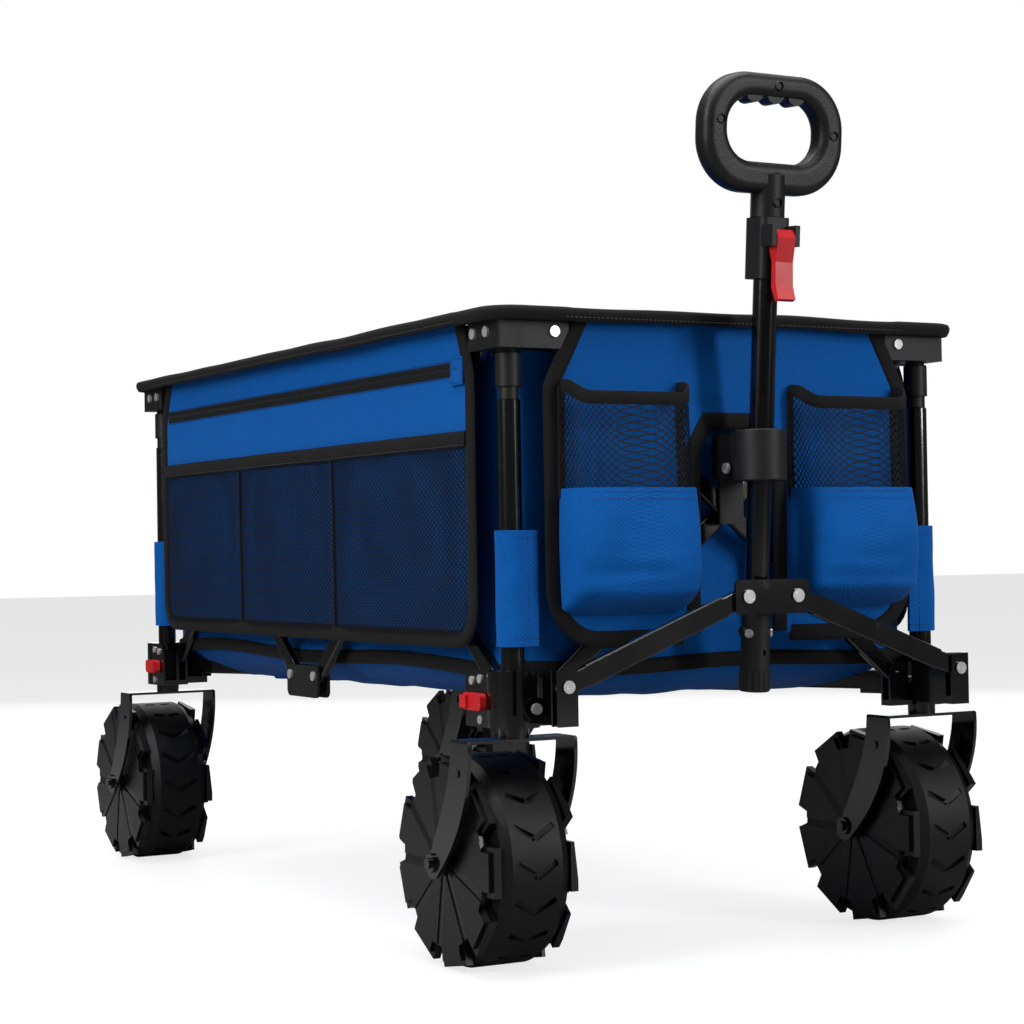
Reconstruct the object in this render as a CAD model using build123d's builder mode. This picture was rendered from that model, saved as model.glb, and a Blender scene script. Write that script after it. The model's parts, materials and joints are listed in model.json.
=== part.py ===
"""Folding beach cart: a scissor frame on four caster wheels, a telescoping handle and a fabric bag.

Millimetres. +X is the handle end, +Y the cart's left, +Z up. The origin is on the ground under the
middle of the whole cart. All scissor bars share one length and one angle, so every box, cap and
knuckle stays upright while the cart folds.

Corner parts are placed by (u, v, z): u and v are the distances inward from the corner post's axis,
along the cart and across it.
"""

import os
from math import atan2, cos, degrees, hypot, radians, sin

from build123d import *

os.makedirs("parts", exist_ok=True)

# driving dimensions
MID_X = 22.6  # middle of the four posts, so that the whole cart is centred on the origin
POST_X = 465.0  # half the distance between front and rear post axes
POST_Y = 240.0  # half the distance between right and left post axes
LOWER_PIVOT_Z = 258.0
UPPER_PIVOT_Z = 596.0
SIDE_INSET = 30.0  # side bar pivot, inward from the post
KNUCKLE_HALF = 32.0  # half the distance between a side knuckle's two pivots

BAR_THICK = 8.0
BAR_WIDE = 18.0
LAYER = 4.6  # a bar's middle plane, to either side of the plane of the posts
RUNNING = 0.05  # radial clearance of pins and sliding tubes
EAR_GAP = 0.6
EAR = 3.0
PIN_R = 3.0
HEAD_R = 5.0

BOX_BOTTOM = 228.0
BOX_TOP = 281.0
BOX_OUT = 24.0  # box walls outward of the post axis
SOCKET = 15.0  # half width of the block that holds the post
PLATE = 2.5

POST_R = 11.0
INNER_R = 9.5
POST_TOP = 533.0
CAP_BOTTOM = 580.0
CAP_TOP = 612.0
CAP_OUT = 20.0
CAP_IN = 12.4

WHEEL_R = 100.0
TRAIL = 58.0
FORK_TOP = 218.5
FORK_HALF = 58.0
FORK_PLATE = 3.5
AXLE_R = 6.0
HUB_HALF = 47.5
TREAD_HALF = 35.0

LEAN = 4.5  # degrees that the handle column leans forward
COLUMN_X = 517.2  # column axis forward of the posts' middle, at the height of the brace plate
BRACE_Z = 345.0
BRACE_HALF = 28.5
BRACE_X = 537.0  # the braces' middle plane
COLUMN_R = 12.0

LINK_Z = 250.0
LINK_OUT = 20.0  # link pivot, outward of the point that folds towards the centre in a straight line
HUB_ARM = 82.0
HUB_GAP = 9.0  # room beside a link's free end, which swings between the hub's cheeks
LINK_THICK = 10.0

BAG_X = 451.5
BAG_Y = 226.5
BAG_BOTTOM = 284.0
RIM_Z = 613.0
CLOTH = 2.4

RISE = UPPER_PIVOT_Z - LOWER_PIVOT_Z
SIDE_RUN = POST_X - SIDE_INSET - KNUCKLE_HALF
FRONT_RUN = SIDE_RUN  # the front and rear bars are the same bars
FRONT_INSET = POST_Y - FRONT_RUN / 2

ENDS = {"front": 1, "rear": -1}
SIDES = {"right": -1, "left": 1}


def save(solid, label):
    """Label a finished piece and write it as its own file."""
    solid.label = label
    export_step(solid, f"parts/{label}.step")


def place(sx, sy, u, v, z):
    """The point u and v inward from a corner post's axis, at height z."""
    return (MID_X + sx * (POST_X - u), sy * (POST_Y - v), z)


def block(x, y, z, mode=Mode.ADD):
    """A box between two limits on each axis."""
    with Locations(((x[0] + x[1]) / 2, (y[0] + y[1]) / 2, (z[0] + z[1]) / 2)):
        Box(abs(x[1] - x[0]), abs(y[1] - y[0]), abs(z[1] - z[0]), mode=mode)


def slab(sx, sy, u, v, z, mode=Mode.ADD):
    """A box at a corner, between limits of u, v and z."""
    low = place(sx, sy, u[0], v[0], z[0])
    high = place(sx, sy, u[1], v[1], z[1])
    block((low[0], high[0]), (low[1], high[1]), (low[2], high[2]), mode)


def rod(start, end, radius, mode=Mode.ADD):
    """A round bar from one point to another."""
    start, end = Vector(start), Vector(end)
    middle = Plane(origin=(start + end) / 2, z_dir=end - start)
    with Locations(middle.location):
        Cylinder(radius, (end - start).length, mode=mode)


def corner_rod(sx, sy, along, u, v, z, radius, mode=Mode.ADD):
    """A round bar at a corner, along u, v or z, whose limits are the pair given for that letter."""
    low = [u, v, z]
    high = [u, v, z]
    n = "uvz".index(along)
    low[n], high[n] = low[n][0], high[n][1]
    rod(place(sx, sy, *low), place(sx, sy, *high), radius, mode)


def ears(middle):
    """Limits of the two ears that straddle a bar whose middle plane is given."""
    near = BAR_THICK / 2 + EAR_GAP
    return (middle - near - EAR, middle - near), (middle + near, middle + near + EAR)


def front_layer(sy, upper):
    """Middle plane, in u, of the front or rear bar that ends at this box or cap."""
    outer = (sy > 0) != upper
    return -LAYER if outer else LAYER


# ---------------------------------------------------------------- corner posts
def corner_post(end, side):
    """Folded steel corner box with its clevises, and the lower tube standing in it."""
    sx, sy = ENDS[end], SIDES[side]
    with BuildPart() as post:
        slab(sx, sy, (-SOCKET, SOCKET), (-SOCKET, SOCKET), (BOX_BOTTOM, BOX_TOP))
        slab(sx, sy, (-8, SOCKET), (-BOX_OUT, -SOCKET), (BOX_BOTTOM, BOX_TOP))
        slab(sx, sy, (-8, 50), (-BOX_OUT, PLATE - BOX_OUT), (BOX_BOTTOM, BOX_TOP))
        slab(sx, sy, (-8, 50), (-BOX_OUT, -SOCKET), (BOX_BOTTOM, BOX_BOTTOM + PLATE))
        with Locations(Location(place(sx, sy, 0, 0, (BOX_BOTTOM + BOX_TOP) / 2))):
            Cylinder(BOX_OUT + 1, BOX_TOP - BOX_BOTTOM)
        slab(sx, sy, (SOCKET, 30), (-30, 30), (BOX_BOTTOM, BOX_TOP), Mode.SUBTRACT)
        slab(sx, sy, (SOCKET, 50), (-BOX_OUT, PLATE - BOX_OUT), (BOX_BOTTOM, BOX_TOP))
        slab(sx, sy, (0, 30), (SOCKET, 30), (BOX_BOTTOM, BOX_TOP), Mode.SUBTRACT)
        # vertical slot in the rounded front, beside the side wall
        slab(sx, sy, (-30, -19), (-12.5, -9.5), (BOX_BOTTOM + 12, BOX_TOP), Mode.SUBTRACT)
        # the rounded wall stops short of the end bar
        slab(sx, sy, (-30, 30), (19, 30), (BOX_BOTTOM, BOX_TOP), Mode.SUBTRACT)

        # clevis of the side bar, closed by a ledge under it
        for low, high in ears(LAYER):
            slab(sx, sy, (SOCKET - 2, 41), (low, high), (BOX_BOTTOM, BOX_TOP - 9))
        slab(sx, sy, (SOCKET - 2, 41), (-BOX_OUT, ears(LAYER)[1][1]), (BOX_BOTTOM, BOX_BOTTOM + 6))
        corner_rod(sx, sy, "v", SIDE_INSET, (-3, ears(LAYER)[1][1]), LOWER_PIVOT_Z, PIN_R)

        # clevis of the end bar
        end_ears = ears(front_layer(sy, upper=False))
        for low, high in end_ears:
            slab(sx, sy, (low, high), (SOCKET - 2, FRONT_INSET + 11), (BOX_BOTTOM, BOX_TOP - 9))
        floor = (end_ears[0][0], end_ears[1][1])
        slab(sx, sy, floor, (SOCKET - 2, FRONT_INSET + 11), (BOX_BOTTOM, BOX_BOTTOM + 6))
        corner_rod(sx, sy, "u", floor, FRONT_INSET, LOWER_PIVOT_Z, PIN_R)
        corner_rod(sx, sy, "u", (floor[0] - 2, floor[0]), FRONT_INSET, LOWER_PIVOT_Z, HEAD_R)

        # lugs that straddle the bottom link's end
        slab(sx, sy, (SOCKET - 3, 19), (SOCKET - 3, 27), (LINK_Z - 12, LINK_Z + 12))
        ux, uy = link_direction(sx, sy)
        px, py, _ = link_pivot(sx, sy)
        for offset in (-1, 1):
            shift = offset * (LINK_THICK / 2 + EAR_GAP + EAR / 2)
            centre = (px + 9.5 * ux - shift * uy, py + 9.5 * uy + shift * ux, LINK_Z)
            with Locations(Location(centre, (0, 0, degrees(atan2(uy, ux))))):
                Box(37, EAR, 24)
        reach = LINK_THICK / 2 + EAR_GAP + EAR
        rod(
            (px - reach * uy, py + reach * ux, LINK_Z),
            (px + reach * uy, py - reach * ux, LINK_Z),
            PIN_R,
        )

        # round-headed rivets on the side wall, and the rounded ear at the front
        for u, z in ((36, 271), (20, 273), (20, 235)):
            corner_rod(sx, sy, "v", u, (-BOX_OUT - 1.6, -BOX_OUT), z, 4)
        corner_rod(sx, sy, "u", (-29, -20), 8, 246, 11)
        corner_rod(sx, sy, "u", (-31, -29), 8, 246, HEAD_R)

        if end == "front":
            # forward bracket that holds the brace's lower end
            slab(sx, sy, (-78.5, -20), (12, 24), (232, 240))
            slab(sx, sy, (-66, -20), (20, 24), (232, 276))
            for low in (-78.5, -68.0):
                slab(sx, sy, (low, low + PLATE), (3, 24), (232, 283))
            corner_rod(sx, sy, "u", (-80.5, -65.5), 13.6, 268, PIN_R)
            corner_rod(sx, sy, "u", (-80.5, -78.5), 13.6, 268, HEAD_R + 1)

        # bore for the caster's swivel pin
        corner_rod(sx, sy, "z", 0, 0, (BOX_BOTTOM, BOX_BOTTOM + 25), AXLE_R + RUNNING, Mode.SUBTRACT)

    with BuildPart() as tube:
        corner_rod(sx, sy, "z", 0, 0, (BOX_TOP, POST_TOP), POST_R)
        corner_rod(sx, sy, "z", 0, 0, (BOX_TOP + 4, POST_TOP), INNER_R + RUNNING, Mode.SUBTRACT)
        chamfer(tube.edges().group_by(Axis.Z)[-1], 0.6)
    save(Compound(children=[post.part, tube.part]), f"post_{end}_{side}")


def link_direction(sx, sy):
    """Unit vector in plan from the cart's centre towards a corner's link pivot."""
    run = hypot(SIDE_RUN, FRONT_RUN / 2)
    return sx * SIDE_RUN / run, sy * FRONT_RUN / 2 / run


def link_pivot(sx, sy):
    """Pivot of the bottom link on the corner box."""
    ux, uy = link_direction(sx, sy)
    out = hypot(SIDE_RUN, FRONT_RUN / 2) + LINK_OUT
    return MID_X + out * ux, out * uy, LINK_Z


# ---------------------------------------------------------------- top caps
def cap(end, side):
    """Moulded corner cap with two slotted arms, its inner tube and the bush under it."""
    sx, sy = ENDS[end], SIDES[side]
    layer = front_layer(sy, upper=True)
    arm_x, arm_y = 42.0, 55.0
    with BuildPart() as shell:
        slab(sx, sy, (-CAP_OUT, CAP_IN), (-CAP_OUT, CAP_IN), (CAP_BOTTOM, CAP_TOP))
        slab(sx, sy, (-CAP_OUT, arm_x), (-CAP_OUT, CAP_IN), (CAP_BOTTOM, CAP_TOP))
        slab(sx, sy, (-CAP_OUT, CAP_IN), (-CAP_OUT, arm_y), (CAP_BOTTOM, CAP_TOP))
        fillet(shell.edges().filter_by(Axis.Z), 1.2)
        chamfer(shell.faces().sort_by(Axis.Z)[-1].edges(), 1.0)
        side_slot = ears(-LAYER)
        slab(sx, sy, (16, 43), (side_slot[0][1], side_slot[1][0]), (500, CAP_TOP - 4), Mode.SUBTRACT)
        end_slot = ears(layer)
        slab(sx, sy, (end_slot[0][1], end_slot[1][0]), (22, 56), (500, CAP_TOP - 4), Mode.SUBTRACT)
        corner_rod(sx, sy, "v", SIDE_INSET, (-CAP_OUT, CAP_IN), UPPER_PIVOT_Z, PIN_R)
        corner_rod(sx, sy, "u", (-CAP_OUT, CAP_IN), FRONT_INSET, UPPER_PIVOT_Z, PIN_R)
        # rivet heads: two on the side arm, one on the end arm
        for u in (4, SIDE_INSET):
            corner_rod(sx, sy, "v", u, (-CAP_OUT - 1.8, -CAP_OUT), UPPER_PIVOT_Z, HEAD_R)
        corner_rod(sx, sy, "u", (-CAP_OUT - 1.8, -CAP_OUT), FRONT_INSET, UPPER_PIVOT_Z, HEAD_R)
        corner_rod(sx, sy, "z", 0, 0, (CAP_BOTTOM, CAP_TOP - 4), INNER_R, Mode.SUBTRACT)
    with BuildPart() as inner:
        corner_rod(sx, sy, "z", 0, 0, (300, CAP_TOP - 4), INNER_R)
        corner_rod(sx, sy, "z", 0, 0, (300, CAP_TOP - 8), INNER_R - 1.5, Mode.SUBTRACT)
    with BuildPart() as bush:
        corner_rod(sx, sy, "z", 0, 0, (545, 577), POST_R + 1)
        chamfer(bush.edges().group_by(Axis.Z)[-1], 1.2)
        corner_rod(sx, sy, "z", 0, 0, (545, 577), INNER_R, Mode.SUBTRACT)
    save(Compound(children=[shell.part, inner.part, bush.part]), f"cap_{end}_{side}")


# ---------------------------------------------------------------- casters
def fork_arm_outline():
    """Side view of a fork arm: a strap that sweeps back from the swivel to the axle."""
    with BuildLine() as line:
        Line((-17, FORK_TOP), (17, FORK_TOP))
        Spline([(17, FORK_TOP), (14, 178), (-8, 132), (-TRAIL + 13, WHEEL_R - 8)])
        ThreePointArc((-TRAIL + 13, WHEEL_R - 8), (-TRAIL, WHEEL_R - 15), (-TRAIL - 13, WHEEL_R - 8))
        Spline([(-TRAIL - 13, WHEEL_R - 8), (-42, 142), (-24, 180), (-17, FORK_TOP)])
    return line


def caster_fork(end, side):
    """Inverted U of steel strap with its swivel neck, its pin and the wheel's axle."""
    sx, sy = ENDS[end], SIDES[side]
    cx, cy, _ = place(sx, sy, 0, 0, 0)
    with BuildPart() as fork:
        for face in (-FORK_HALF, FORK_HALF - FORK_PLATE):
            with BuildSketch(Plane(origin=(cx, cy + face + FORK_PLATE, 0), x_dir=(1, 0, 0), z_dir=(0, -1, 0))):
                add(fork_arm_outline())
                make_face()
            extrude(amount=FORK_PLATE)
        block((cx - 17, cx + 17), (cy - FORK_HALF, cy + FORK_HALF), (FORK_TOP - 3, FORK_TOP))
        fillet(fork.edges().filter_by(Axis.X).group_by(Axis.Z)[-1], 2.5)
        # embossed panel and rivet on each arm
        for way in (-1, 1):
            face = cy + way * FORK_HALF
            rod((cx - 4, face, 188), (cx - 4, face + way * 1.5, 188), 4)
            rod((cx - TRAIL, face, WHEEL_R), (cx - TRAIL, face + way * 3, WHEEL_R), 9)
            rod((cx - TRAIL, face + way * 3, WHEEL_R), (cx - TRAIL, face + way * 6, WHEEL_R), 5)
        rod((cx - TRAIL, cy - FORK_HALF, WHEEL_R), (cx - TRAIL, cy + FORK_HALF, WHEEL_R), AXLE_R)
        rod((cx, cy, FORK_TOP - 1), (cx, cy, BOX_BOTTOM - 0.4), 14)
        rod((cx, cy, FORK_TOP), (cx, cy, BOX_BOTTOM + 22), AXLE_R)
    save(fork.part, f"fork_{end}_{side}")


LUGS = 9
FACET_DROP = 6.5  # degrees that each face sector slopes

with BuildPart() as wheel_hub:
    with BuildSketch(Plane.XZ):
        Circle(80)
    extrude(amount=HUB_HALF, both=True)
    for way in (-1, 1):
        # lugs that grip the tread's shoulder, in two steps
        for radius, inner_y, outer_y, wide in ((97, 36.5, 44, 46), (92, 43, HUB_HALF, 36)):
            for n in range(LUGS):
                angle = radians(n * 360 / LUGS)
                plane = Plane(
                    origin=(cos(angle) * radius / 2, way * (inner_y + outer_y) / 2, sin(angle) * radius / 2),
                    x_dir=(cos(angle), 0, sin(angle)),
                    z_dir=(0, 1, 0),
                )
                with Locations(plane.location):
                    Box(radius, wide, outer_y - inner_y)
        # each face is a ring of sectors, every one sloping down from a radial edge
        for n in range(LUGS):
            angle = radians((n + 0.5) * 360 / LUGS)
            radial = Vector(cos(angle), 0, sin(angle))
            normal = Vector(0, way, 0).rotate(Axis((0, 0, 0), tuple(radial)), FACET_DROP)
            sector = Plane(origin=(0, way * (HUB_HALF - 1), 0), x_dir=radial, z_dir=normal)
            turn = 360 / LUGS if sector.y_dir.dot(radial.cross(Vector(0, 1, 0))) > 0 else -360 / LUGS
            with BuildSketch(sector):
                Polygon(
                    (0, 0),
                    (110, 0),
                    (110 * cos(radians(turn)), 110 * sin(radians(turn))),
                    align=None,
                )
            extrude(amount=12, mode=Mode.SUBTRACT)
        rod((0, way * 30, 0), (0, way * (HUB_HALF - 3), 0), 21)
        rod((0, way * 30, 0), (0, way * (HUB_HALF + 2), 0), 13)
    rod((0, -60, 0), (0, 60, 0), AXLE_R + RUNNING, Mode.SUBTRACT)

GROOVES = 18

with BuildPart() as tyre:
    with BuildSketch(Plane.XY):
        with BuildLine():
            Polyline(
                (80, -TREAD_HALF),
                (95, -TREAD_HALF),
                (WHEEL_R, -TREAD_HALF + 9),
                (WHEEL_R, TREAD_HALF - 9),
                (95, TREAD_HALF),
                (80, TREAD_HALF),
                close=True,
            )
        make_face()
    revolve(axis=Axis.Y)
    # chevron grooves across the middle of the tread
    for n in range(GROOVES):
        angle = n * 360 / GROOVES
        for way in (-1, 1):
            plane = Plane.XY.rotated((0, -angle, 0))
            centre = plane.from_local_coords((WHEEL_R, way * 10.5, 0))
            tilt = Plane(origin=centre, x_dir=plane.x_dir, z_dir=plane.z_dir).rotated((way * 32, 0, 0))
            with Locations(tilt.location):
                Box(7, 24, 6, mode=Mode.SUBTRACT)


def wheel(end, side):
    """A wheel's hub and its tread, at a caster's axle."""
    sx, sy = ENDS[end], SIDES[side]
    cx, cy, _ = place(sx, sy, 0, 0, 0)
    axle = Location((cx - TRAIL, cy, WHEEL_R))
    save(wheel_hub.part.moved(axle), f"wheel_hub_{end}_{side}")
    save(tyre.part.moved(axle), f"tyre_{end}_{side}")


def lock_button(end, side):
    """Swivel-lock slide on the corner box's side wall."""
    sx, sy = ENDS[end], SIDES[side]
    with BuildPart() as button:
        slab(sx, sy, (6, 42), (-BOX_OUT - 8, -BOX_OUT - 1.2), (244, 260))
        fillet(button.edges().filter_by(Axis.Y), 5)
        slab(sx, sy, (30, 42), (-BOX_OUT - 11, -BOX_OUT - 7), (246, 258))
    save(button.part, f"lock_button_{end}_{side}")


for end in ENDS:
    for side in SIDES:
        corner_post(end, side)
        cap(end, side)
        caster_fork(end, side)
        wheel(end, side)
        lock_button(end, side)


# ---------------------------------------------------------------- scissor bars
def bar(label, start, end, normal, crossing_pin):
    """A flat tube between two pivots. crossing_pin is the way its rivet points, or 0 for a hole."""
    start, end = Vector(start), Vector(end)
    length = (end - start).length
    plane = Plane(origin=(start + end) / 2, x_dir=end - start, z_dir=normal)
    with BuildPart() as piece:
        with BuildSketch(plane.offset(-BAR_THICK / 2)):
            SlotCenterToCenter(length, BAR_WIDE)
        extrude(amount=BAR_THICK)
        fillet(piece.faces().sort_by(Axis(tuple(plane.origin), tuple(plane.z_dir)))[-1].edges(), 2)
        fillet(piece.faces().sort_by(Axis(tuple(plane.origin), tuple(plane.z_dir)))[0].edges(), 2)
        with BuildSketch(plane.offset(-BAR_THICK / 2)):
            with Locations((-length / 2, 0), (length / 2, 0)):
                Circle(PIN_R + RUNNING)
            if not crossing_pin:
                Circle(PIN_R + RUNNING)
        extrude(amount=BAR_THICK, mode=Mode.SUBTRACT)
        if crossing_pin:
            way = plane.z_dir * crossing_pin
            near = plane.origin + way * (LAYER * 2 + BAR_THICK / 2 + EAR_GAP)
            rod(plane.origin, near + way * 1.8, PIN_R)
            rod(near, near + way * 1.8, HEAD_R)
    save(piece.part, label)


KNUCKLE_X = KNUCKLE_HALF
for side, sy in SIDES.items():
    for end, sx in ENDS.items():
        inner_y = sy * (POST_Y - LAYER)
        outer_y = sy * (POST_Y + LAYER)
        post_x = MID_X + sx * (POST_X - SIDE_INSET)
        knuckle_x = MID_X + sx * KNUCKLE_X
        bar(
            f"side_bar_rising_{end}_{side}",
            (post_x, inner_y, LOWER_PIVOT_Z),
            (knuckle_x, inner_y, UPPER_PIVOT_Z),
            (0, sy, 0),
            1,
        )
        bar(
            f"side_bar_falling_{end}_{side}",
            (post_x, outer_y, UPPER_PIVOT_Z),
            (knuckle_x, outer_y, LOWER_PIVOT_Z),
            (0, sy, 0),
            0,
        )

for end, sx in ENDS.items():
    for side, sy in SIDES.items():
        # the bar that starts low on the left lies outside the one that starts low on the right
        plane_x = MID_X + sx * (POST_X + sy * LAYER)
        low = (plane_x, sy * (POST_Y - FRONT_INSET), LOWER_PIVOT_Z)
        high = (plane_x, -sy * (POST_Y - FRONT_INSET), UPPER_PIVOT_Z)
        pin = -1 if (end == "rear" and side == "left") else 0
        bar(f"{end}_bar_low_{side}", low, high, (sx, 0, 0), pin)


def knuckle(label, sy, layer, pivot_z, z):
    """Two plates and a web that join the side bars' ends at the middle of a side."""
    (a, b), (c, d) = ears(layer)
    with BuildPart() as piece:
        for low, high in ((a, b), (c, d)):
            block(
                (MID_X - KNUCKLE_X - 10, MID_X + KNUCKLE_X + 10),
                (sy * (POST_Y - low), sy * (POST_Y - high)),
                z,
            )
        fillet(piece.edges().filter_by(Axis.Y).group_by(Axis.Z)[0], 8)
        block((MID_X - 20, MID_X + 20), (sy * (POST_Y - a), sy * (POST_Y - d)), z)
        for sx in ENDS.values():
            x = MID_X + sx * KNUCKLE_X
            rod((x, sy * (POST_Y - a), pivot_z), (x, sy * (POST_Y - d), pivot_z), PIN_R)
            rod((x, sy * (POST_Y - a), pivot_z), (x, sy * (POST_Y - a + 1), pivot_z), HEAD_R)
    save(piece.part, label)


for side, sy in SIDES.items():
    knuckle(f"knuckle_top_{side}", sy, LAYER, UPPER_PIVOT_Z, (UPPER_PIVOT_Z - 12, UPPER_PIVOT_Z + 11))
    knuckle(f"knuckle_bottom_{side}", sy, -LAYER, LOWER_PIVOT_Z, (LOWER_PIVOT_Z - 24, LOWER_PIVOT_Z + 11))

# ---------------------------------------------------------------- handle column
lean = Vector(sin(radians(LEAN)), 0, cos(radians(LEAN)))
column = Plane(
    origin=(MID_X + COLUMN_X, 0, BRACE_Z),
    x_dir=(cos(radians(LEAN)), 0, -sin(radians(LEAN))),
    z_dir=lean,
)
CROSSING_Z = (LOWER_PIVOT_Z + UPPER_PIVOT_Z) / 2
SLEEVE_LOW, SLEEVE_HIGH = 455.0, 504.0
SLEEVE_HALF = 25.0


def column_point(x, y, s):
    """A point in the leaning column's own frame."""
    return column.from_local_coords((x, y, s))


with BuildPart() as collar:
    sleeve_x = MID_X + COLUMN_X + (480 - BRACE_Z) * sin(radians(LEAN)) / cos(radians(LEAN))
    with BuildSketch(Plane.XY.offset(SLEEVE_LOW)):
        with Locations((sleeve_x, 0)):
            Circle(SLEEVE_HALF)
    extrude(amount=SLEEVE_HIGH - SLEEVE_LOW)
    fillet(collar.edges().filter_by(GeomType.CIRCLE), 1.5)
    lug_face = MID_X + POST_X + 9.2
    block((lug_face, sleeve_x), (-20, 20), (SLEEVE_LOW + 2, SLEEVE_HIGH - 2))
    block((lug_face, lug_face + EAR), (-14, 14), (CROSSING_Z - 12, SLEEVE_HIGH - 2))
    rod((lug_face + EAR, 0, CROSSING_Z), (MID_X + POST_X - 11.2, 0, CROSSING_Z), PIN_R)
    rod((MID_X + POST_X - 9.4, 0, CROSSING_Z), (MID_X + POST_X - 11.2, 0, CROSSING_Z), HEAD_R)
    rod((lug_face + 14, -22, 468), (lug_face + 14, 22, 468), HEAD_R)
    rod(column_point(0, 0, 80), column_point(0, 0, 200), COLUMN_R + 0.4, Mode.SUBTRACT)
save(collar.part, "column_collar")

COLUMN_FOOT = -62.0
COLUMN_HEAD = 330.0

with BuildPart() as column_tube:
    rod(column_point(0, 0, COLUMN_FOOT), column_point(0, 0, COLUMN_HEAD), COLUMN_R)
    rod(column_point(0, 0, COLUMN_FOOT), column_point(0, 0, COLUMN_HEAD), INNER_R + RUNNING, Mode.SUBTRACT)
save(column_tube.part, "column_tube")

with BuildPart() as socket:
    rod(column_point(0, 0, -72), column_point(0, 0, -17), 14)
    for y in (-1, 1):
        rod(column_point(0, y * 12, -34), column_point(0, y * 17, -34), 4.5)
    rod(column_point(0, 0, COLUMN_FOOT), column_point(0, 0, 0), COLUMN_R, Mode.SUBTRACT)
    rod(column_point(10, 0, -54), column_point(20, 0, -54), 3, Mode.SUBTRACT)
save(socket.part, "column_socket")

RIBS = 16
with BuildPart() as end_cap:
    rod(column_point(0, 0, -92), column_point(0, 0, -72), 15.4)
    chamfer(end_cap.edges().filter_by(GeomType.CIRCLE).group_by(Axis.Z)[0], 1.5)
    for n in range(RIBS):
        angle = radians(n * 360 / RIBS)
        x, y = 16 * cos(angle), 16 * sin(angle)
        rod(column_point(x, y, -93), column_point(x, y, -71), 1.6, Mode.SUBTRACT)
save(end_cap.part, "column_end_cap")

BRACE_THICK = 7.0
plate_x = MID_X + BRACE_X + BRACE_THICK / 2 + 0.6
with BuildPart() as brace_plate:
    block((plate_x, plate_x + EAR), (-42.5, 42.5), (BRACE_Z - 17, BRACE_Z + 16))
    fillet(brace_plate.edges().filter_by(Axis.X), 6)
    block((MID_X + COLUMN_X, plate_x), (-7, 7), (BRACE_Z - 12, BRACE_Z + 12))
    rod(column_point(0, 0, -16.5), column_point(0, 0, 16), 14)
    for y in (-BRACE_HALF, BRACE_HALF):
        rod((plate_x + EAR, y, BRACE_Z), (plate_x + EAR + 2.2, y, BRACE_Z), 6.5)
    rod(column_point(0, 0, -20), column_point(0, 0, 20), COLUMN_R, Mode.SUBTRACT)
save(brace_plate.part, "brace_plate")

HOUSING_LOW, HOUSING_HIGH = 303.0, 361.0
LEVER_PIVOT = (24.0, 343.0)
with BuildPart() as housing:
    with Locations(Location(column_point(1, 0, (HOUSING_LOW + HOUSING_HIGH) / 2), (0, LEAN, 0))):
        Box(33, 33, HOUSING_HIGH - HOUSING_LOW)
    fillet(housing.edges().filter_by(Axis(column_point(0, 0, 0), lean)), 7)
    for y in (-13.4, 13.4):
        with Locations(Location(column_point(22, y, LEVER_PIVOT[1]), (0, LEAN, 0))):
            Box(20, 5, 20)
    rod(column_point(LEVER_PIVOT[0], -13, LEVER_PIVOT[1]), column_point(LEVER_PIVOT[0], 13, LEVER_PIVOT[1]), PIN_R)
    rod(column_point(0, 0, HOUSING_LOW), column_point(0, 0, COLUMN_HEAD), COLUMN_R, Mode.SUBTRACT)
    rod(column_point(0, 0, HOUSING_LOW), column_point(0, 0, HOUSING_HIGH), INNER_R + RUNNING, Mode.SUBTRACT)
save(housing.part, "clamp_housing")

with BuildPart() as lever:
    with BuildSketch(Plane(origin=column_point(0, -10, 0), x_dir=column.x_dir, z_dir=(0, -1, 0))):
        with BuildLine():
            Polyline((24, 349), (28.5, 348.6), (33.5, 341), (30, 318), (31, 296), (36, 283), (31, 281), (24, 294))
            Polyline((24, 294), (23.5, 318), (18.6, 332), (18.6, 343), (20.5, 347), (24, 349))
        make_face()
    extrude(amount=-20)
    rod(
        column_point(LEVER_PIVOT[0], -12, LEVER_PIVOT[1]),
        column_point(LEVER_PIVOT[0], 12, LEVER_PIVOT[1]),
        PIN_R + RUNNING,
        Mode.SUBTRACT,
    )
save(lever.part, "clamp_lever")

HANDLE_FOOT = -40.0
GRIP_FOOT = HOUSING_HIGH + 0.6
with BuildPart() as handle_tube:
    rod(column_point(0, 0, HANDLE_FOOT), column_point(0, 0, GRIP_FOOT + 18), INNER_R)
    rod(column_point(0, 0, HANDLE_FOOT), column_point(0, 0, GRIP_FOOT + 10), INNER_R - 1.5, Mode.SUBTRACT)
save(handle_tube.part, "handle_tube")

GRIP_WIDE, GRIP_TALL, GRIP_THICK = 160.0, 113.0, 27.0
HOLE_WIDE, HOLE_TALL = 106.0, 60.0
grip_middle = GRIP_FOOT + 22 + GRIP_TALL / 2
with BuildPart() as grip:
    face = Plane(origin=column_point(GRIP_THICK / 2, 0, grip_middle), x_dir=(0, 1, 0), z_dir=column.x_dir)
    with BuildSketch(face):
        RectangleRounded(GRIP_WIDE, GRIP_TALL, 50)
        with Locations((0, 3)):
            RectangleRounded(HOLE_WIDE, HOLE_TALL, 28, mode=Mode.SUBTRACT)
    extrude(amount=-GRIP_THICK)
    fillet(grip.faces().sort_by(Axis.X)[-1].edges(), 10)
    fillet(grip.faces().sort_by(Axis.X)[0].edges(), 10)
    # finger bumps under the top of the hole
    for y in (-24, 0, 24):
        rod(column_point(-9, y, grip_middle + 38), column_point(9, y, grip_middle + 38), 10)
    rod(column_point(0, 0, GRIP_FOOT), column_point(0, 0, GRIP_FOOT + 40), 16.5)
    rod(column_point(0, 0, GRIP_FOOT), column_point(0, 0, GRIP_FOOT + 18), INNER_R, Mode.SUBTRACT)
save(grip.part, "handle_grip")


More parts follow.
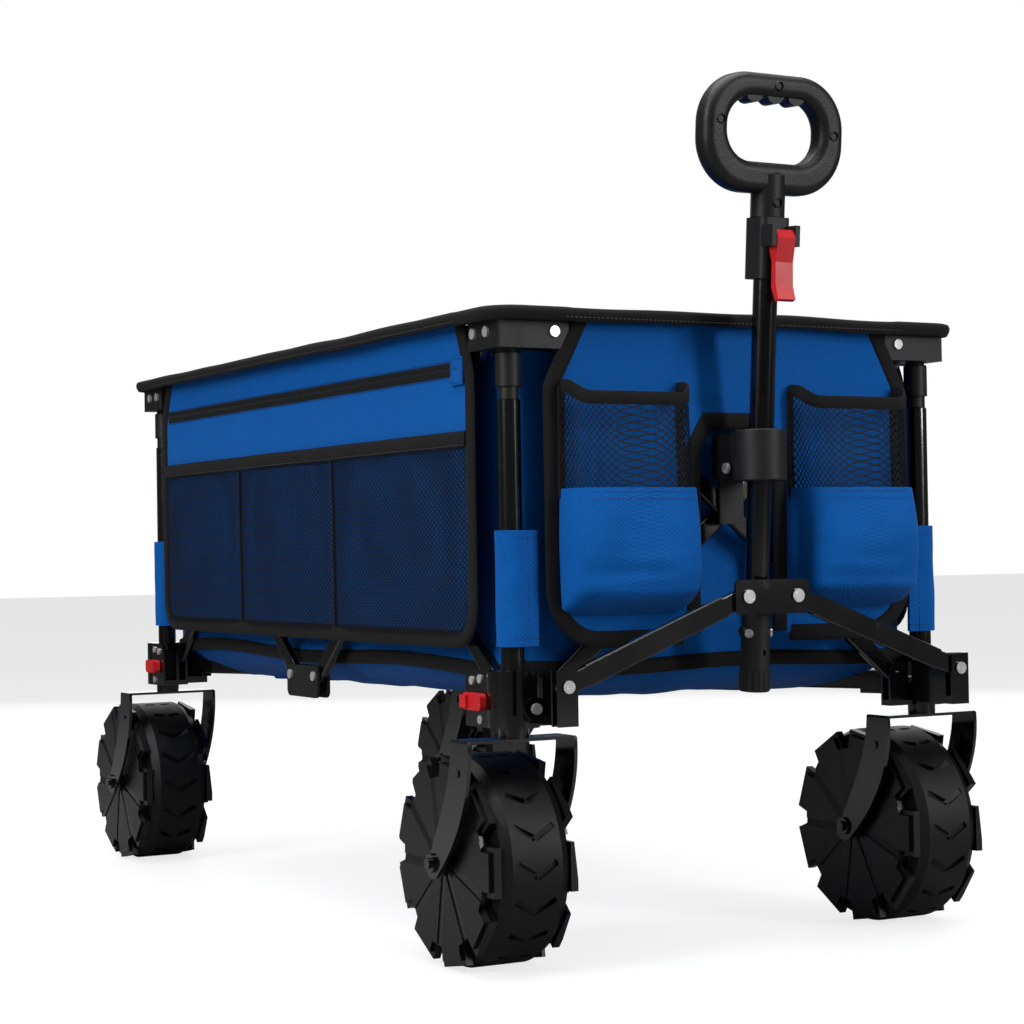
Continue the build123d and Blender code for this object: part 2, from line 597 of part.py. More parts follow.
# ---------------------------------------------------------------- braces
def brace(side):
    """Strut from a front box to the brace plate: a D tube with flattened ends."""
    sy = SIDES[side]
    low = Vector(MID_X + BRACE_X, sy * (POST_Y - 13.6), 268)
    high = Vector(MID_X + BRACE_X, sy * BRACE_HALF, BRACE_Z)
    length = (high - low).length
    plane = Plane(origin=(low + high) / 2, x_dir=high - low, z_dir=(1, 0, 0))
    with BuildPart() as piece:
        with BuildSketch(plane.offset(-BRACE_THICK / 2)):
            SlotCenterToCenter(length, 18)
            with Locations((-length / 2, 0)):
                Circle(PIN_R + RUNNING, mode=Mode.SUBTRACT)
        extrude(amount=BRACE_THICK)
        with BuildSketch(plane.offset(BRACE_THICK / 2)):
            Rectangle(length - 52, 21)
        extrude(amount=-13, taper=8)
        fillet(piece.edges().filter_by(Axis((0, 0, 0), tuple(plane.x_dir))), 1.2)
    save(piece.part, f"brace_{side}")


for side in SIDES:
    brace(side)


# ---------------------------------------------------------------- floor links and hub
def floor_link(end, side):
    """Flat tube under the bag, from a corner box to the hub."""
    sx, sy = ENDS[end], SIDES[side]
    ux, uy = link_direction(sx, sy)
    outer = Vector(link_pivot(sx, sy))
    inner = Vector(MID_X + HUB_ARM * ux, HUB_ARM * uy, LINK_Z)
    length = (outer - inner).length
    plane = Plane(origin=(outer + inner) / 2, x_dir=inner - outer, z_dir=(-uy, ux, 0))
    with BuildPart() as piece:
        with BuildSketch(plane.offset(-LINK_THICK / 2)):
            SlotCenterToCenter(length, 16)
            with Locations((-length / 2, 0)):
                Circle(PIN_R + RUNNING, mode=Mode.SUBTRACT)
        extrude(amount=LINK_THICK)
        fillet(piece.edges().filter_by(Axis((0, 0, 0), tuple(plane.x_dir))), 2)
    save(piece.part, f"floor_link_{end}_{side}")


for end in ENDS:
    for side in SIDES:
        floor_link(end, side)

with BuildPart() as floor_hub:
    rod((MID_X, 0, LINK_Z - 9), (MID_X, 0, LINK_Z + 9), 30)
    for sx in ENDS.values():
        for sy in SIDES.values():
            ux, uy = link_direction(sx, sy)
            for offset in (-1, 1):
                shift = offset * (LINK_THICK / 2 + HUB_GAP + EAR / 2)
                start, stop = 15.0, HUB_ARM + 6
                middle = (start + stop) / 2
                centre = (MID_X + middle * ux - shift * uy, middle * uy + shift * ux, LINK_Z)
                with Locations(Location(centre, (0, 0, degrees(atan2(uy, ux))))):
                    Box(stop - start, EAR, 18)
save(floor_hub.part, "floor_hub")

# ---------------------------------------------------------------- bag
with BuildPart() as tub:
    with BuildSketch(Plane.XY.offset(BAG_BOTTOM)):
        with Locations((MID_X, 0)):
            RectangleRounded(2 * BAG_X, 2 * BAG_Y, 12)
    extrude(amount=RIM_Z - BAG_BOTTOM)
    with BuildSketch(Plane.XY.offset(BAG_BOTTOM + CLOTH)):
        with Locations((MID_X, 0)):
            RectangleRounded(2 * (BAG_X - CLOTH), 2 * (BAG_Y - CLOTH), 10)
    extrude(amount=RIM_Z - BAG_BOTTOM, mode=Mode.SUBTRACT)
save(tub.part, "bag_tub")

RIM_OUT = 34.0
with BuildPart() as rim:
    with BuildSketch(Plane.XY.offset(RIM_Z)):
        with Locations((MID_X, 0)):
            RectangleRounded(2 * (POST_X + RIM_OUT), 2 * (POST_Y + RIM_OUT), 30)
            RectangleRounded(2 * (BAG_X - CLOTH), 2 * (BAG_Y - CLOTH), 10, mode=Mode.SUBTRACT)
    extrude(amount=3)
save(rim.part, "bag_rim")

PANEL_X = MID_X + 480.0
POCKET_DEEP = 52.0
CUTOUT_HALF = 51.0
with BuildPart() as front_panel:
    with BuildSketch(Plane(origin=(PANEL_X, 0, 0), x_dir=(0, 1, 0), z_dir=(1, 0, 0))):
        with BuildLine():
            Polyline((-CUTOUT_HALF, 307), (-150, 307), (-205, 340), (-205, 545), (-182, 579), (-170, RIM_Z))
            Line((-170, RIM_Z), (170, RIM_Z))
            Polyline((170, RIM_Z), (182, 579), (205, 545), (205, 340), (150, 307), (CUTOUT_HALF, 307))
            Polyline((CUTOUT_HALF, 307), (CUTOUT_HALF, 490), (CUTOUT_HALF - 15, 515))
            Line((CUTOUT_HALF - 15, 515), (15 - CUTOUT_HALF, 515))
            Polyline((15 - CUTOUT_HALF, 515), (-CUTOUT_HALF, 490), (-CUTOUT_HALF, 307))
        make_face()
    extrude(amount=CLOTH)
    for sy in SIDES.values():
        x = (PANEL_X + CLOTH - 1, PANEL_X + POCKET_DEEP)
        block(x, (sy * 66, sy * 196), (346, 537))
        inside = (PANEL_X + CLOTH, PANEL_X + POCKET_DEEP - CLOTH)
        block(inside, (sy * (66 + CLOTH), sy * (196 - CLOTH)), (346 + CLOTH, 540), Mode.SUBTRACT)
save(front_panel.part, "front_pocket_panel")

side_panels = []
for sy in SIDES.values():
    with BuildPart() as panel:
        start = sy * (POST_Y + 14)
        with BuildSketch(Plane(origin=(MID_X, start, 0), x_dir=(1, 0, 0), z_dir=(0, -1, 0))):
            with BuildLine():
                Polyline((-405, 308), (405, 308), (418, 325), (418, 560), (396, RIM_Z))
                Polyline((396, RIM_Z), (-396, RIM_Z), (-418, 560), (-418, 325), (-405, 308))
            make_face()
        extrude(amount=-sy * CLOTH)
        y = (start + sy * (CLOTH - 1), start + sy * 13)
        block((MID_X - 412, MID_X + 412), y, (312, 505))
        inside = (start + sy * CLOTH, start + sy * (13 - CLOTH))
        block((MID_X - 409, MID_X + 409), inside, (312 + CLOTH, 508), Mode.SUBTRACT)
    side_panels.append(panel.part)
save(Compound(children=side_panels), "side_pocket_panels")
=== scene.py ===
import json
import math
import bpy
from mathutils import Matrix, Vector, noise


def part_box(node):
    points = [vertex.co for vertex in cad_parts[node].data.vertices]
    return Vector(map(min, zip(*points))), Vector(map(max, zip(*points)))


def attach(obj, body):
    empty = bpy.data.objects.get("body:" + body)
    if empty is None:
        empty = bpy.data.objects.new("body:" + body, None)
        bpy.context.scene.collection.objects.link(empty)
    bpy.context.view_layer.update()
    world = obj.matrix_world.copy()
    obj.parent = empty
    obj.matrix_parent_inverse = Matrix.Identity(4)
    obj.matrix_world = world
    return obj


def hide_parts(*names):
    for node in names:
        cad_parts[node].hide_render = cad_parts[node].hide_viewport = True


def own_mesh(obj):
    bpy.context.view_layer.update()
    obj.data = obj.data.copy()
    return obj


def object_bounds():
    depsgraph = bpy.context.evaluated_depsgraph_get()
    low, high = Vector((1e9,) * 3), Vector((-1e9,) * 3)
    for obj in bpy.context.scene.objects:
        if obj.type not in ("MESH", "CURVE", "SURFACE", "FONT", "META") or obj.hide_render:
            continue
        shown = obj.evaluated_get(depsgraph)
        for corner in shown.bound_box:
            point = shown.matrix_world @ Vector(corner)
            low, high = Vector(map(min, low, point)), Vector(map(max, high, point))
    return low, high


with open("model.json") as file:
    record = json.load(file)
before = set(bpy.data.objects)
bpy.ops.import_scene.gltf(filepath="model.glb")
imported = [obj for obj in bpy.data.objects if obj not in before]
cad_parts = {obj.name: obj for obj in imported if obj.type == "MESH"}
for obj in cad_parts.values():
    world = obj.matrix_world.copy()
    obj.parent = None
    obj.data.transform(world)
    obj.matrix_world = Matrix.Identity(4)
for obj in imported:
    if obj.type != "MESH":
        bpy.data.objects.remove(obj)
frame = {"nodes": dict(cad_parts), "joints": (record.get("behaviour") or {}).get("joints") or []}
cad_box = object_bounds()
bpy.ops.object.select_all(action="DESELECT")

# ------------------------------------------------------------ scissor frame
# Corner boxes, lower tubes, flat scissor tubes, braces, floor links and the
# handle column: bent and drawn steel in gloss black powder coat, which pools
# in a faint orange peel and is rubbed to a duller sheen where hands meet it.


def new_group(name, inputs, *more):
    """An empty shader group with inputs (name, value) and the outputs of a surface."""
    value_kind, colour_kind = "NodeSocketFloat", "NodeSocketColor"
    outputs = ("Color", colour_kind), ("Roughness", value_kind), ("Height", value_kind), *more
    group = bpy.data.node_groups.new(name, "ShaderNodeTree")
    for label, value in inputs:
        kind = colour_kind if isinstance(value, tuple) else value_kind
        socket = group.interface.new_socket(label, in_out="INPUT", socket_type=kind)
        socket.default_value = value
    for label, kind in outputs:
        group.interface.new_socket(label, in_out="OUTPUT", socket_type=kind)
    ends = group.nodes.new("NodeGroupInput"), group.nodes.new("NodeGroupOutput")
    return group, *ends


def maths(tree, operation, *values):
    """A Math node, fed by numbers or sockets. Returns its output."""
    node = tree.nodes.new("ShaderNodeMath")
    node.operation = operation
    for n, value in enumerate(values):
        if isinstance(value, (int, float)):
            node.inputs[n].default_value = value
        else:
            tree.links.new(value, node.inputs[n])
    return node.outputs[0]


def span(tree, value, low, high):
    """Stretches a 0 to 1 value over the range between two sockets or numbers."""
    return maths(tree, "MULTIPLY_ADD", value, maths(tree, "SUBTRACT", high, low), low)


moulded, given, made = new_group(
    "moulded_surface",
    [
        ("Base", (0.02, 0.02, 0.02, 1)),
        ("Rubbed", (0.05, 0.05, 0.05, 1)),
        ("Patch Scale", 9.0),
        ("Grain Scale", 900.0),
        ("Rough Low", 0.25),
        ("Rough High", 0.4),
        ("Scuffs", 0.3),
    ],
)
place = moulded.nodes.new("ShaderNodeTexCoord").outputs["Object"]


def noise_in(tree, vector, scale, detail=3.0):
    """A noise texture at a scale. Returns its factor."""
    node = tree.nodes.new("ShaderNodeTexNoise")
    node.inputs["Detail"].default_value = detail
    tree.links.new(vector, node.inputs["Vector"])
    if isinstance(scale, (int, float)):
        node.inputs["Scale"].default_value = scale
    else:
        tree.links.new(scale, node.inputs["Scale"])
    return node.outputs["Fac"]


def mix_colour(tree, share, a, b):
    """Mixes two colour sockets by a factor."""
    node = tree.nodes.new("ShaderNodeMix")
    node.data_type = "RGBA"
    tree.links.new(share, node.inputs["Factor"])
    for socket, value in ((node.inputs[6], a), (node.inputs[7], b)):
        if isinstance(value, tuple):
            socket.default_value = value
        else:
            tree.links.new(value, socket)
    return node.outputs[2]


patches = noise_in(moulded, place, given.outputs["Patch Scale"])
grain = noise_in(moulded, place, given.outputs["Grain Scale"], 2.0)
scratches = noise_in(moulded, place, 60.0, 6.0)
scratched = maths(moulded, "MAXIMUM", maths(moulded, "MULTIPLY_ADD", scratches, 9.0, -5.4), 0.0)
scratched = maths(moulded, "SMOOTH_MIN", scratched, 1.0, 0.1)
scuffed = maths(moulded, "MULTIPLY", scratched, given.outputs["Scuffs"])
worn = mix_colour(moulded, scuffed, given.outputs["Base"], given.outputs["Rubbed"])
moulded.links.new(worn, made.inputs["Color"])
rough = span(moulded, patches, given.outputs["Rough Low"], given.outputs["Rough High"])
moulded.links.new(maths(moulded, "MULTIPLY_ADD", scuffed, 0.3, rough), made.inputs["Roughness"])
moulded.links.new(grain, made.inputs["Height"])


def new_material(name, group, values, bump, depth, **shader):
    """A material whose Principled shader takes colour, roughness and bump from a group."""
    material = bpy.data.materials.new(name)
    material.use_nodes = True
    tree = material.node_tree
    principled = tree.nodes["Principled BSDF"]
    node = tree.nodes.new("ShaderNodeGroup")
    node.node_tree = group
    for label, value in values.items():
        node.inputs[label].default_value = value
    relief = tree.nodes.new("ShaderNodeBump")
    relief.inputs["Strength"].default_value = bump
    relief.inputs["Distance"].default_value = depth
    tree.links.new(node.outputs["Color"], principled.inputs["Base Color"])
    tree.links.new(node.outputs["Roughness"], principled.inputs["Roughness"])
    tree.links.new(node.outputs["Height"], relief.inputs["Height"])
    tree.links.new(relief.outputs["Normal"], principled.inputs["Normal"])
    if "Alpha" in node.outputs:
        tree.links.new(node.outputs["Alpha"], principled.inputs["Alpha"])
    for label, value in shader.items():
        principled.inputs[label.replace("_", " ")].default_value = value
    return material


powder_coat = new_material(
    "gloss_powder_coat",
    moulded,
    {
        "Base": (0.0012, 0.0012, 0.0014, 1), "Rubbed": (0.009, 0.009, 0.01, 1), "Patch Scale": 14.0,
        "Grain Scale": 700.0, "Rough Low": 0.12, "Rough High": 0.24, "Scuffs": 0.25,
    },
    0.12,
    0.0004,
    Specular_IOR_Level=0.5,
    Coat_Weight=0.7,
    Coat_Roughness=0.06,
)

STEEL = "post_", "side_bar", "front_bar", "rear_bar", "brace_", "floor_link"
STEEL += "column_tube", "handle_tube", "fork_"


def paint(material, *starts):
    """Gives a material to the CAD nodes whose names start so."""
    for name, node in frame["nodes"].items():
        if name.startswith(starts):
            node.data.materials.clear()
            node.data.materials.append(material)


paint(powder_coat, *STEEL)

# ------------------------------------------------------------ moulded fittings
# Top caps, knuckles, the collar, clamp housing, column socket and ribbed foot:
# glass-filled nylon, injection moulded with a fine spark-eroded matt grain and
# pressed or riveted to the tubes.
nylon = new_material(
    "matt_nylon",
    moulded,
    {
        "Base": (0.010, 0.010, 0.0105, 1), "Rubbed": (0.035, 0.035, 0.036, 1), "Patch Scale": 20.0,
        "Grain Scale": 1300.0, "Rough Low": 0.42, "Rough High": 0.56, "Scuffs": 0.2,
    },
    0.22,
    0.0006,
    Specular_IOR_Level=0.35,
)
paint(nylon, "cap_", "knuckle_", "column_collar", "column_socket", "column_end_cap")
paint(nylon, "clamp_housing", "floor_hub")

# ------------------------------------------------------------ casters
# Wide beach wheels: a satin polypropylene hub with paddle lugs and sloped
# facets, and a rubber tread moulded over it with a row of chevrons.
hub_plastic = new_material(
    "satin_hub",
    moulded,
    {
        "Base": (0.0018, 0.0018, 0.002, 1), "Rubbed": (0.012, 0.012, 0.012, 1), "Patch Scale": 16.0,
        "Grain Scale": 900.0, "Rough Low": 0.2, "Rough High": 0.34, "Scuffs": 0.3,
    },
    0.2,
    0.0006,
)
paint(hub_plastic, "wheel_hub")
rubber = new_material(
    "tread_rubber",
    moulded,
    {
        "Base": (0.0035, 0.0035, 0.0037, 1), "Rubbed": (0.02, 0.02, 0.019, 1), "Patch Scale": 24.0,
        "Grain Scale": 1500.0, "Rough Low": 0.34, "Rough High": 0.5, "Scuffs": 0.35,
    },
    0.35,
    0.0008,
    Specular_IOR_Level=0.3,
)
paint(rubber, "tyre_")

# ------------------------------------------------------------ red controls
# The four swivel locks and the clamp lever: red polypropylene, moulded with a
# fine grain and a soft satin skin.
red_plastic = new_material(
    "satin_red",
    moulded,
    {
        "Base": (0.62, 0.012, 0.018, 1), "Rubbed": (0.7, 0.08, 0.07, 1), "Patch Scale": 30.0,
        "Grain Scale": 1500.0, "Rough Low": 0.3, "Rough High": 0.42, "Scuffs": 0.15,
    },
    0.15,
    0.0005,
)
paint(red_plastic, "lock_button", "clamp_lever")

# ------------------------------------------------------------ rivets
# Bright plated round-head rivets close every pivot and fix the caps, the
# brace plate, the collar and the socket. Each is headed over its washer.
bright_steel = new_material(
    "plated_rivet",
    moulded,
    {
        "Base": (0.66, 0.66, 0.67, 1), "Rubbed": (0.4, 0.39, 0.38, 1), "Patch Scale": 200.0,
        "Grain Scale": 1500.0, "Rough Low": 0.16, "Rough High": 0.34, "Scuffs": 0.5,
    },
    0.1,
    0.0003,
    Metallic=0.5,
)


def select(*pieces):
    """Selects these pieces and no others, the first one active."""
    bpy.ops.object.select_all(action="DESELECT")
    for piece in pieces:
        piece.select_set(True)
    bpy.context.view_layer.objects.active = pieces[0]


def in_edit(obj, *steps):
    """Runs edit-mode operators on a piece, each a function of no values."""
    select(obj)
    bpy.ops.object.mode_set(mode="EDIT")
    for step in steps:
        step()
    bpy.ops.object.mode_set(mode="OBJECT")


def face_out():
    """Turns every face of the piece in edit mode outward."""
    bpy.ops.mesh.select_all(action="SELECT")
    bpy.ops.mesh.normals_make_consistent(inside=False)


def linked(name, data):
    """A new object in the scene for a mesh, a light or a camera."""
    piece = bpy.data.objects.new(name, data)
    bpy.context.scene.collection.objects.link(piece)
    return piece


def pick(obj, test):
    """Selects the faces whose centre passes a test, and nothing else."""
    mesh = obj.data
    for part in (mesh.vertices, mesh.edges, mesh.polygons):
        part.foreach_set("select", [False] * len(part))
    for face in mesh.polygons:
        if test(face.center):
            face.select = True
            for index in face.vertices:
                mesh.vertices[index].select = True


def head_mesh(around, radius, tall, middle, smooth, *steps):
    """The mesh of a round head: a disc whose upper face is worked by edit-mode steps."""
    bpy.ops.mesh.primitive_cylinder_add(vertices=around, radius=radius, depth=tall, location=(0, 0, middle))
    head = bpy.context.object
    pick(head, lambda c: c.z > middle + tall * 0.4)
    in_edit(head, *steps, face_out)
    bpy.ops.object.shade_smooth_by_angle(angle=math.radians(smooth))
    mesh = head.data
    bpy.data.objects.remove(head)
    return mesh


def heads(name, mesh, body, material, spots):
    """One piece of head copies. Each spot is a place, a way and a scale."""
    parts = []
    for spot, way, scale in spots:
        turn = Vector(way).to_track_quat("Z", "Y").to_matrix().to_4x4()
        piece = linked(name, mesh.copy())
        piece.data.transform(Matrix.Translation(spot) @ turn @ Matrix.Scale(scale, 4))
        parts.append(piece)
    select(*parts)
    bpy.ops.object.join()
    parts[0].data.materials.append(material)
    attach(parts[0], body)
    return parts[0]


RIVET_R, RIVET_TALL, SUNK = 0.0052, 0.0026, 0.0002
rivet_mesh = head_mesh(
    20,
    RIVET_R,
    RIVET_TALL,
    RIVET_TALL / 2,
    50,
    lambda: bpy.ops.mesh.bevel(offset=0.0019, segments=4, profile=0.55, affect="EDGES"),
)


def rivets(name, body, spots):
    """Rivet heads on one body."""
    heads(name, rivet_mesh, body, bright_steel, spots)


joints = {j["name"]: j for j in frame["joints"]}
ENDS, SIDES = {"front": 1, "rear": -1}, {"right": -1, "left": 1}
POST = {(e, s): Vector(joints[f"swivel_{e}_{s}"]["pos_m"]) for e in ENDS for s in SIDES}
for (end, side), post in POST.items():
    sx, sy = ENDS[end], SIDES[side]
    low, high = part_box(f"cap_{end}_{side}")
    face_x = high.x if sx > 0 else low.x
    face_y = high.y if sy > 0 else low.y
    rivets(
        f"rivets_cap_{end}_{side}",
        f"cap_{end}_{side}",
        [((post.x - sx * u, face_y - sy * 0.0008, 0.596), (0, sy, 0), 1) for u in (0.004, 0.030)]
        + [((face_x - sx * 0.0008, post.y - sy * 0.0385, 0.596), (sx, 0, 0), 1)],
    )
    box_y = post.y + sy * 0.0246
    side_heads = ((0.036, 0.271), (0.020, 0.273), (0.020, 0.235))
    spots = [((post.x - sx * u, box_y, z), (0, sy, 0), 0.8) for u, z in side_heads]
    spots.append(((post.x + sx * 0.0302, post.y - sy * 0.008, 0.246), (sx, 0, 0), 1))
    if end == "front":
        spots.append(((post.x + 0.0797, post.y - sy * 0.0136, 0.268), (1, 0, 0), 1.15))
    rivets(f"rivets_box_{end}_{side}", f"post_{end}_{side}", spots)
for side, sy in SIDES.items():
    low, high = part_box(f"knuckle_bottom_{side}")
    middle, face = (low.x + high.x) / 2, high.y if sy > 0 else low.y
    spots = [((middle + x, face - sy * SUNK, 0.258), (0, sy, 0), 1) for x in (-0.032, 0.032)]
    rivets(f"rivets_knuckle_{side}", f"knuckle_bottom_{side}", spots)
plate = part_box("brace_plate")
lean = Vector(joints["column_slide"]["axis"]).normalized()
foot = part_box("column_end_cap")
COLUMN = Vector(((foot[0].x + foot[1].x) / 2, 0, (foot[0].z + foot[1].z) / 2))
rivets(
    "rivets_column",
    "handle_column",
    [((plate[1].x - 0.0012, y, 0.345), (1, 0, 0), 1.25) for y in (-0.0285, 0.0285)]
    + [(COLUMN + lean * 0.046 + Vector((0.007, y, 0)), (0.4, y * 60, 0), 0.8) for y in (-0.0128, 0.0128)],
)
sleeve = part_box("column_collar")
COLLAR_X, COLLAR_Z = 0.5285, 0.468
spots = [((COLLAR_X, sleeve[n].y + way * SUNK, COLLAR_Z), (0, way, 0), 1) for n, way in enumerate((-1, 1))]
rivets("rivets_collar", "frame_centre", spots)

# ------------------------------------------------------------ the spans between the posts
# The middle and half spans between the posts, and two helpers that hang the cloth from the caps.
MID_X = (POST[("front", "left")].x + POST[("rear", "left")].x) / 2
HALF_X = POST[("front", "left")].x - MID_X
HALF_Y = POST[("front", "left")].y


def hang_end(piece, end, half=HALF_Y):
    """Hangs cloth from an end's left cap, with a mesh of its own."""
    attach(piece, f"cap_{end}_left")
    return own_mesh(piece)


def hang_side(piece, side, half=HALF_X):
    """Hangs cloth from a side's front cap, with a mesh of its own."""
    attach(piece, f"cap_front_{side}")
    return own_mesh(piece)


# ------------------------------------------------------------ tub
# The bag's body: 600-denier polyester with a coated back, sewn from four walls
# that gather a little between the corners, and bound along the bottom edge.
cloth, given, made = new_group(
    "woven_polyester",
    [
        ("Warp", (0.004, 0.105, 0.42, 1)),
        ("Weft", (0.008, 0.15, 0.52, 1)),
        ("Yarns", 1500.0),
        ("Rough Low", 0.62),
        ("Rough High", 0.8),
    ],
)
thread_uv = cloth.nodes.new("ShaderNodeUVMap")
thread_uv.uv_map = "cloth"
parts = cloth.nodes.new("ShaderNodeSeparateXYZ")
cloth.links.new(thread_uv.outputs["UV"], parts.inputs[0])
across = maths(cloth, "SINE", maths(cloth, "MULTIPLY", parts.outputs[0], given.outputs["Yarns"]))
along = maths(cloth, "SINE", maths(cloth, "MULTIPLY", parts.outputs[1], given.outputs["Yarns"]))
over = maths(cloth, "MULTIPLY", across, along)
at = cloth.nodes.new("ShaderNodeTexCoord").outputs["Object"]
slub = noise_in(cloth, at, 420.0, 4.0)
fade = noise_in(cloth, at, 7.0, 3.0)
tint = maths(cloth, "MULTIPLY_ADD", fade, 0.5, -0.2)
tint = maths(cloth, "MULTIPLY_ADD", slub, 0.9, tint)
tint = maths(cloth, "MULTIPLY_ADD", over, 0.22, tint)
cloth.links.new(mix_colour(cloth, tint, given.outputs["Warp"], given.outputs["Weft"]), made.inputs["Color"])
rough = span(cloth, fade, given.outputs["Rough Low"], given.outputs["Rough High"])
cloth.links.new(rough, made.inputs["Roughness"])
cloth.links.new(maths(cloth, "MULTIPLY_ADD", over, 0.5, slub), made.inputs["Height"])
blue_cloth = new_material(
    "blue_polyester",
    cloth,
    {"Warp": (0.0003, 0.072, 0.31, 1), "Weft": (0.001, 0.128, 0.49, 1)},
    0.35,
    0.0006,
    Sheen_Weight=0.03,
    Sheen_Roughness=0.5,
    Specular_IOR_Level=0.1,
)
THREAD_UV, CLOTH_THICK, WELD = "cloth", 0.0016, 0.00005


def mesh_piece(name, verts, faces, material, flat=None):
    """A piece from mesh data. flat gives each vertex its place on the flat cloth."""
    mesh = bpy.data.meshes.new(name)
    mesh.from_pydata(verts, [], faces)
    if flat:
        uv = mesh.uv_layers.new(name=THREAD_UV)
        for loop in mesh.loops:
            uv.data[loop.index].uv = flat[loop.vertex_index]
    piece = linked(name, mesh)
    mesh.materials.append(material)
    return piece


def ring_faces(rings, around, start=0):
    """Faces of a tube made of rings of vertices, closed at both ends."""
    faces, last = [], start + (rings - 1) * around
    for low in range(start, last, around):
        for k in range(around):
            j = (k + 1) % around
            faces.append((low + k, low + j, low + around + j, low + around + k))
    return faces + [list(range(start, start + around))[::-1], list(range(last, last + around))]


def grid(name, columns, rows, at_point, material):
    """A cloth grid: at_point gives a place for each (column, row), in metres of cloth."""
    wide = len(columns)
    points = [at_point(s, t) for t in rows for s in columns]
    faces = [
        (r * wide + c, r * wide + c + 1, (r + 1) * wide + c + 1, (r + 1) * wide + c)
        for r in range(len(rows) - 1)
        for c in range(wide - 1)
    ]
    return mesh_piece(name, points, faces, material, [(s, t) for t in rows for s in columns])


def true_threads(piece, axis):
    """Lays the threads true: the UV is the place along an axis and the height."""
    corners = piece.data.uv_layers[THREAD_UV].data
    for loop in piece.data.loops:
        place = piece.data.vertices[loop.vertex_index].co
        corners[loop.index].uv = (place[axis], place.z)


def thread_length(piece, length):
    """Turns a UV that runs from 0 to 1 round the piece into metres of cloth."""
    for corner in piece.data.uv_layers[THREAD_UV].data:
        corner.uv = (corner.uv[0] * length, corner.uv[1])


def finish_cloth(piece, thick=CLOTH_THICK):
    """Merges doubles, gives the cloth its thickness and smooths it."""
    in_edit(
        piece,
        lambda: bpy.ops.mesh.select_all(action="SELECT"),
        lambda: bpy.ops.mesh.remove_doubles(threshold=WELD),
        face_out,
    )
    solid = piece.modifiers.new("thickness", "SOLIDIFY")
    solid.thickness = thick
    solid.offset = 0.0
    bpy.ops.object.modifier_apply(modifier=solid.name)
    bpy.ops.object.shade_smooth_by_angle(angle=math.radians(60))
    return piece


def steps(low, high, count):
    """count + 1 even values from low to high."""
    return [low + (high - low) * n / count for n in range(count + 1)]


def crease(x, y, z, size, seed=0.0):
    """Soft wrinkles: two octaves of smooth noise, from -size to size."""
    broad = noise.noise(Vector((x * 9, y * 9, z * 4.5)) + Vector((seed, seed * 1.7, 0)))
    fine = noise.noise(Vector((x * 26, y * 26, z * 13)) + Vector((0, seed, 5.1)))
    return size * (0.75 * broad + 0.35 * fine)


def fold_line(x, seed, size, pitch=0.05):
    """Hanging pleats, deepest half way between the fixings."""
    return size * noise.noise(Vector((x / pitch, seed * 3.1, 0.5)))


WALL_X, WALL_Y, WALL_R = 0.4515, 0.2265, 0.012
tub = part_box("bag_tub")
TUB_LOW, TUB_TOP = tub[0].z, tub[1].z


def end_wall(end):
    """Front or rear wall with both its rounded corners."""
    sx = ENDS[end]
    arc = math.pi / 2 * WALL_R
    straight = WALL_Y - WALL_R

    def at_point(s, t):
        if abs(s) <= straight:
            x, y = WALL_X, s
        else:
            turn = min((abs(s) - straight) / arc, 1) * math.pi / 2
            x = WALL_X - WALL_R + WALL_R * math.cos(turn)
            y = math.copysign(straight + WALL_R * math.sin(turn), s)
        free = max(0, 1 - (s / straight) ** 2)
        free *= math.sin(math.pi * (t - TUB_LOW) / (TUB_TOP - TUB_LOW)) ** 0.5
        x -= free * 0.004 + free * (crease(0.3 * sx, s, t, 0.006, 4.0) + fold_line(s, 2.0 + sx, 0.004))
        return (MID_X + sx * x, y, t)

    corner = steps(straight, straight + arc, 5)
    columns = [-c for c in reversed(corner)] + steps(-straight, straight, 56)[1:-1] + corner
    return grid(f"bag_wall_{end}", columns, steps(TUB_LOW, TUB_TOP, 34), at_point, blue_cloth)


def side_wall(side):
    """Long wall between the end walls' corners."""
    sy = SIDES[side]
    reach = WALL_X - WALL_R

    def at_point(s, t):
        free = max(0, 1 - (s / reach) ** 2) ** 0.5
        free *= math.sin(math.pi * (t - TUB_LOW) / (TUB_TOP - TUB_LOW)) ** 0.5
        y = WALL_Y - free * (0.005 + crease(s, 0.2 * sy, t, 0.007, 7.0) + fold_line(s, 5.0 + sy, 0.005, 0.07))
        return (MID_X + s, sy * y, t)

    heights = steps(TUB_LOW, TUB_TOP, 34)
    return grid(f"bag_wall_{side}", steps(-reach, reach, 100), heights, at_point, blue_cloth)


for end in ENDS:
    wall = finish_cloth(end_wall(end))
    hang_end(wall, end, WALL_Y)
    if end == "front":
        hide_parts("bag_tub")
for side in SIDES:
    wall = finish_cloth(side_wall(side))
    hang_side(wall, side, WALL_X)


def with_link(piece, end, side):
    """Rides on a floor link, with a mesh of its own."""
    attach(piece, f"floor_link_{end}_{side}")
    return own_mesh(piece)


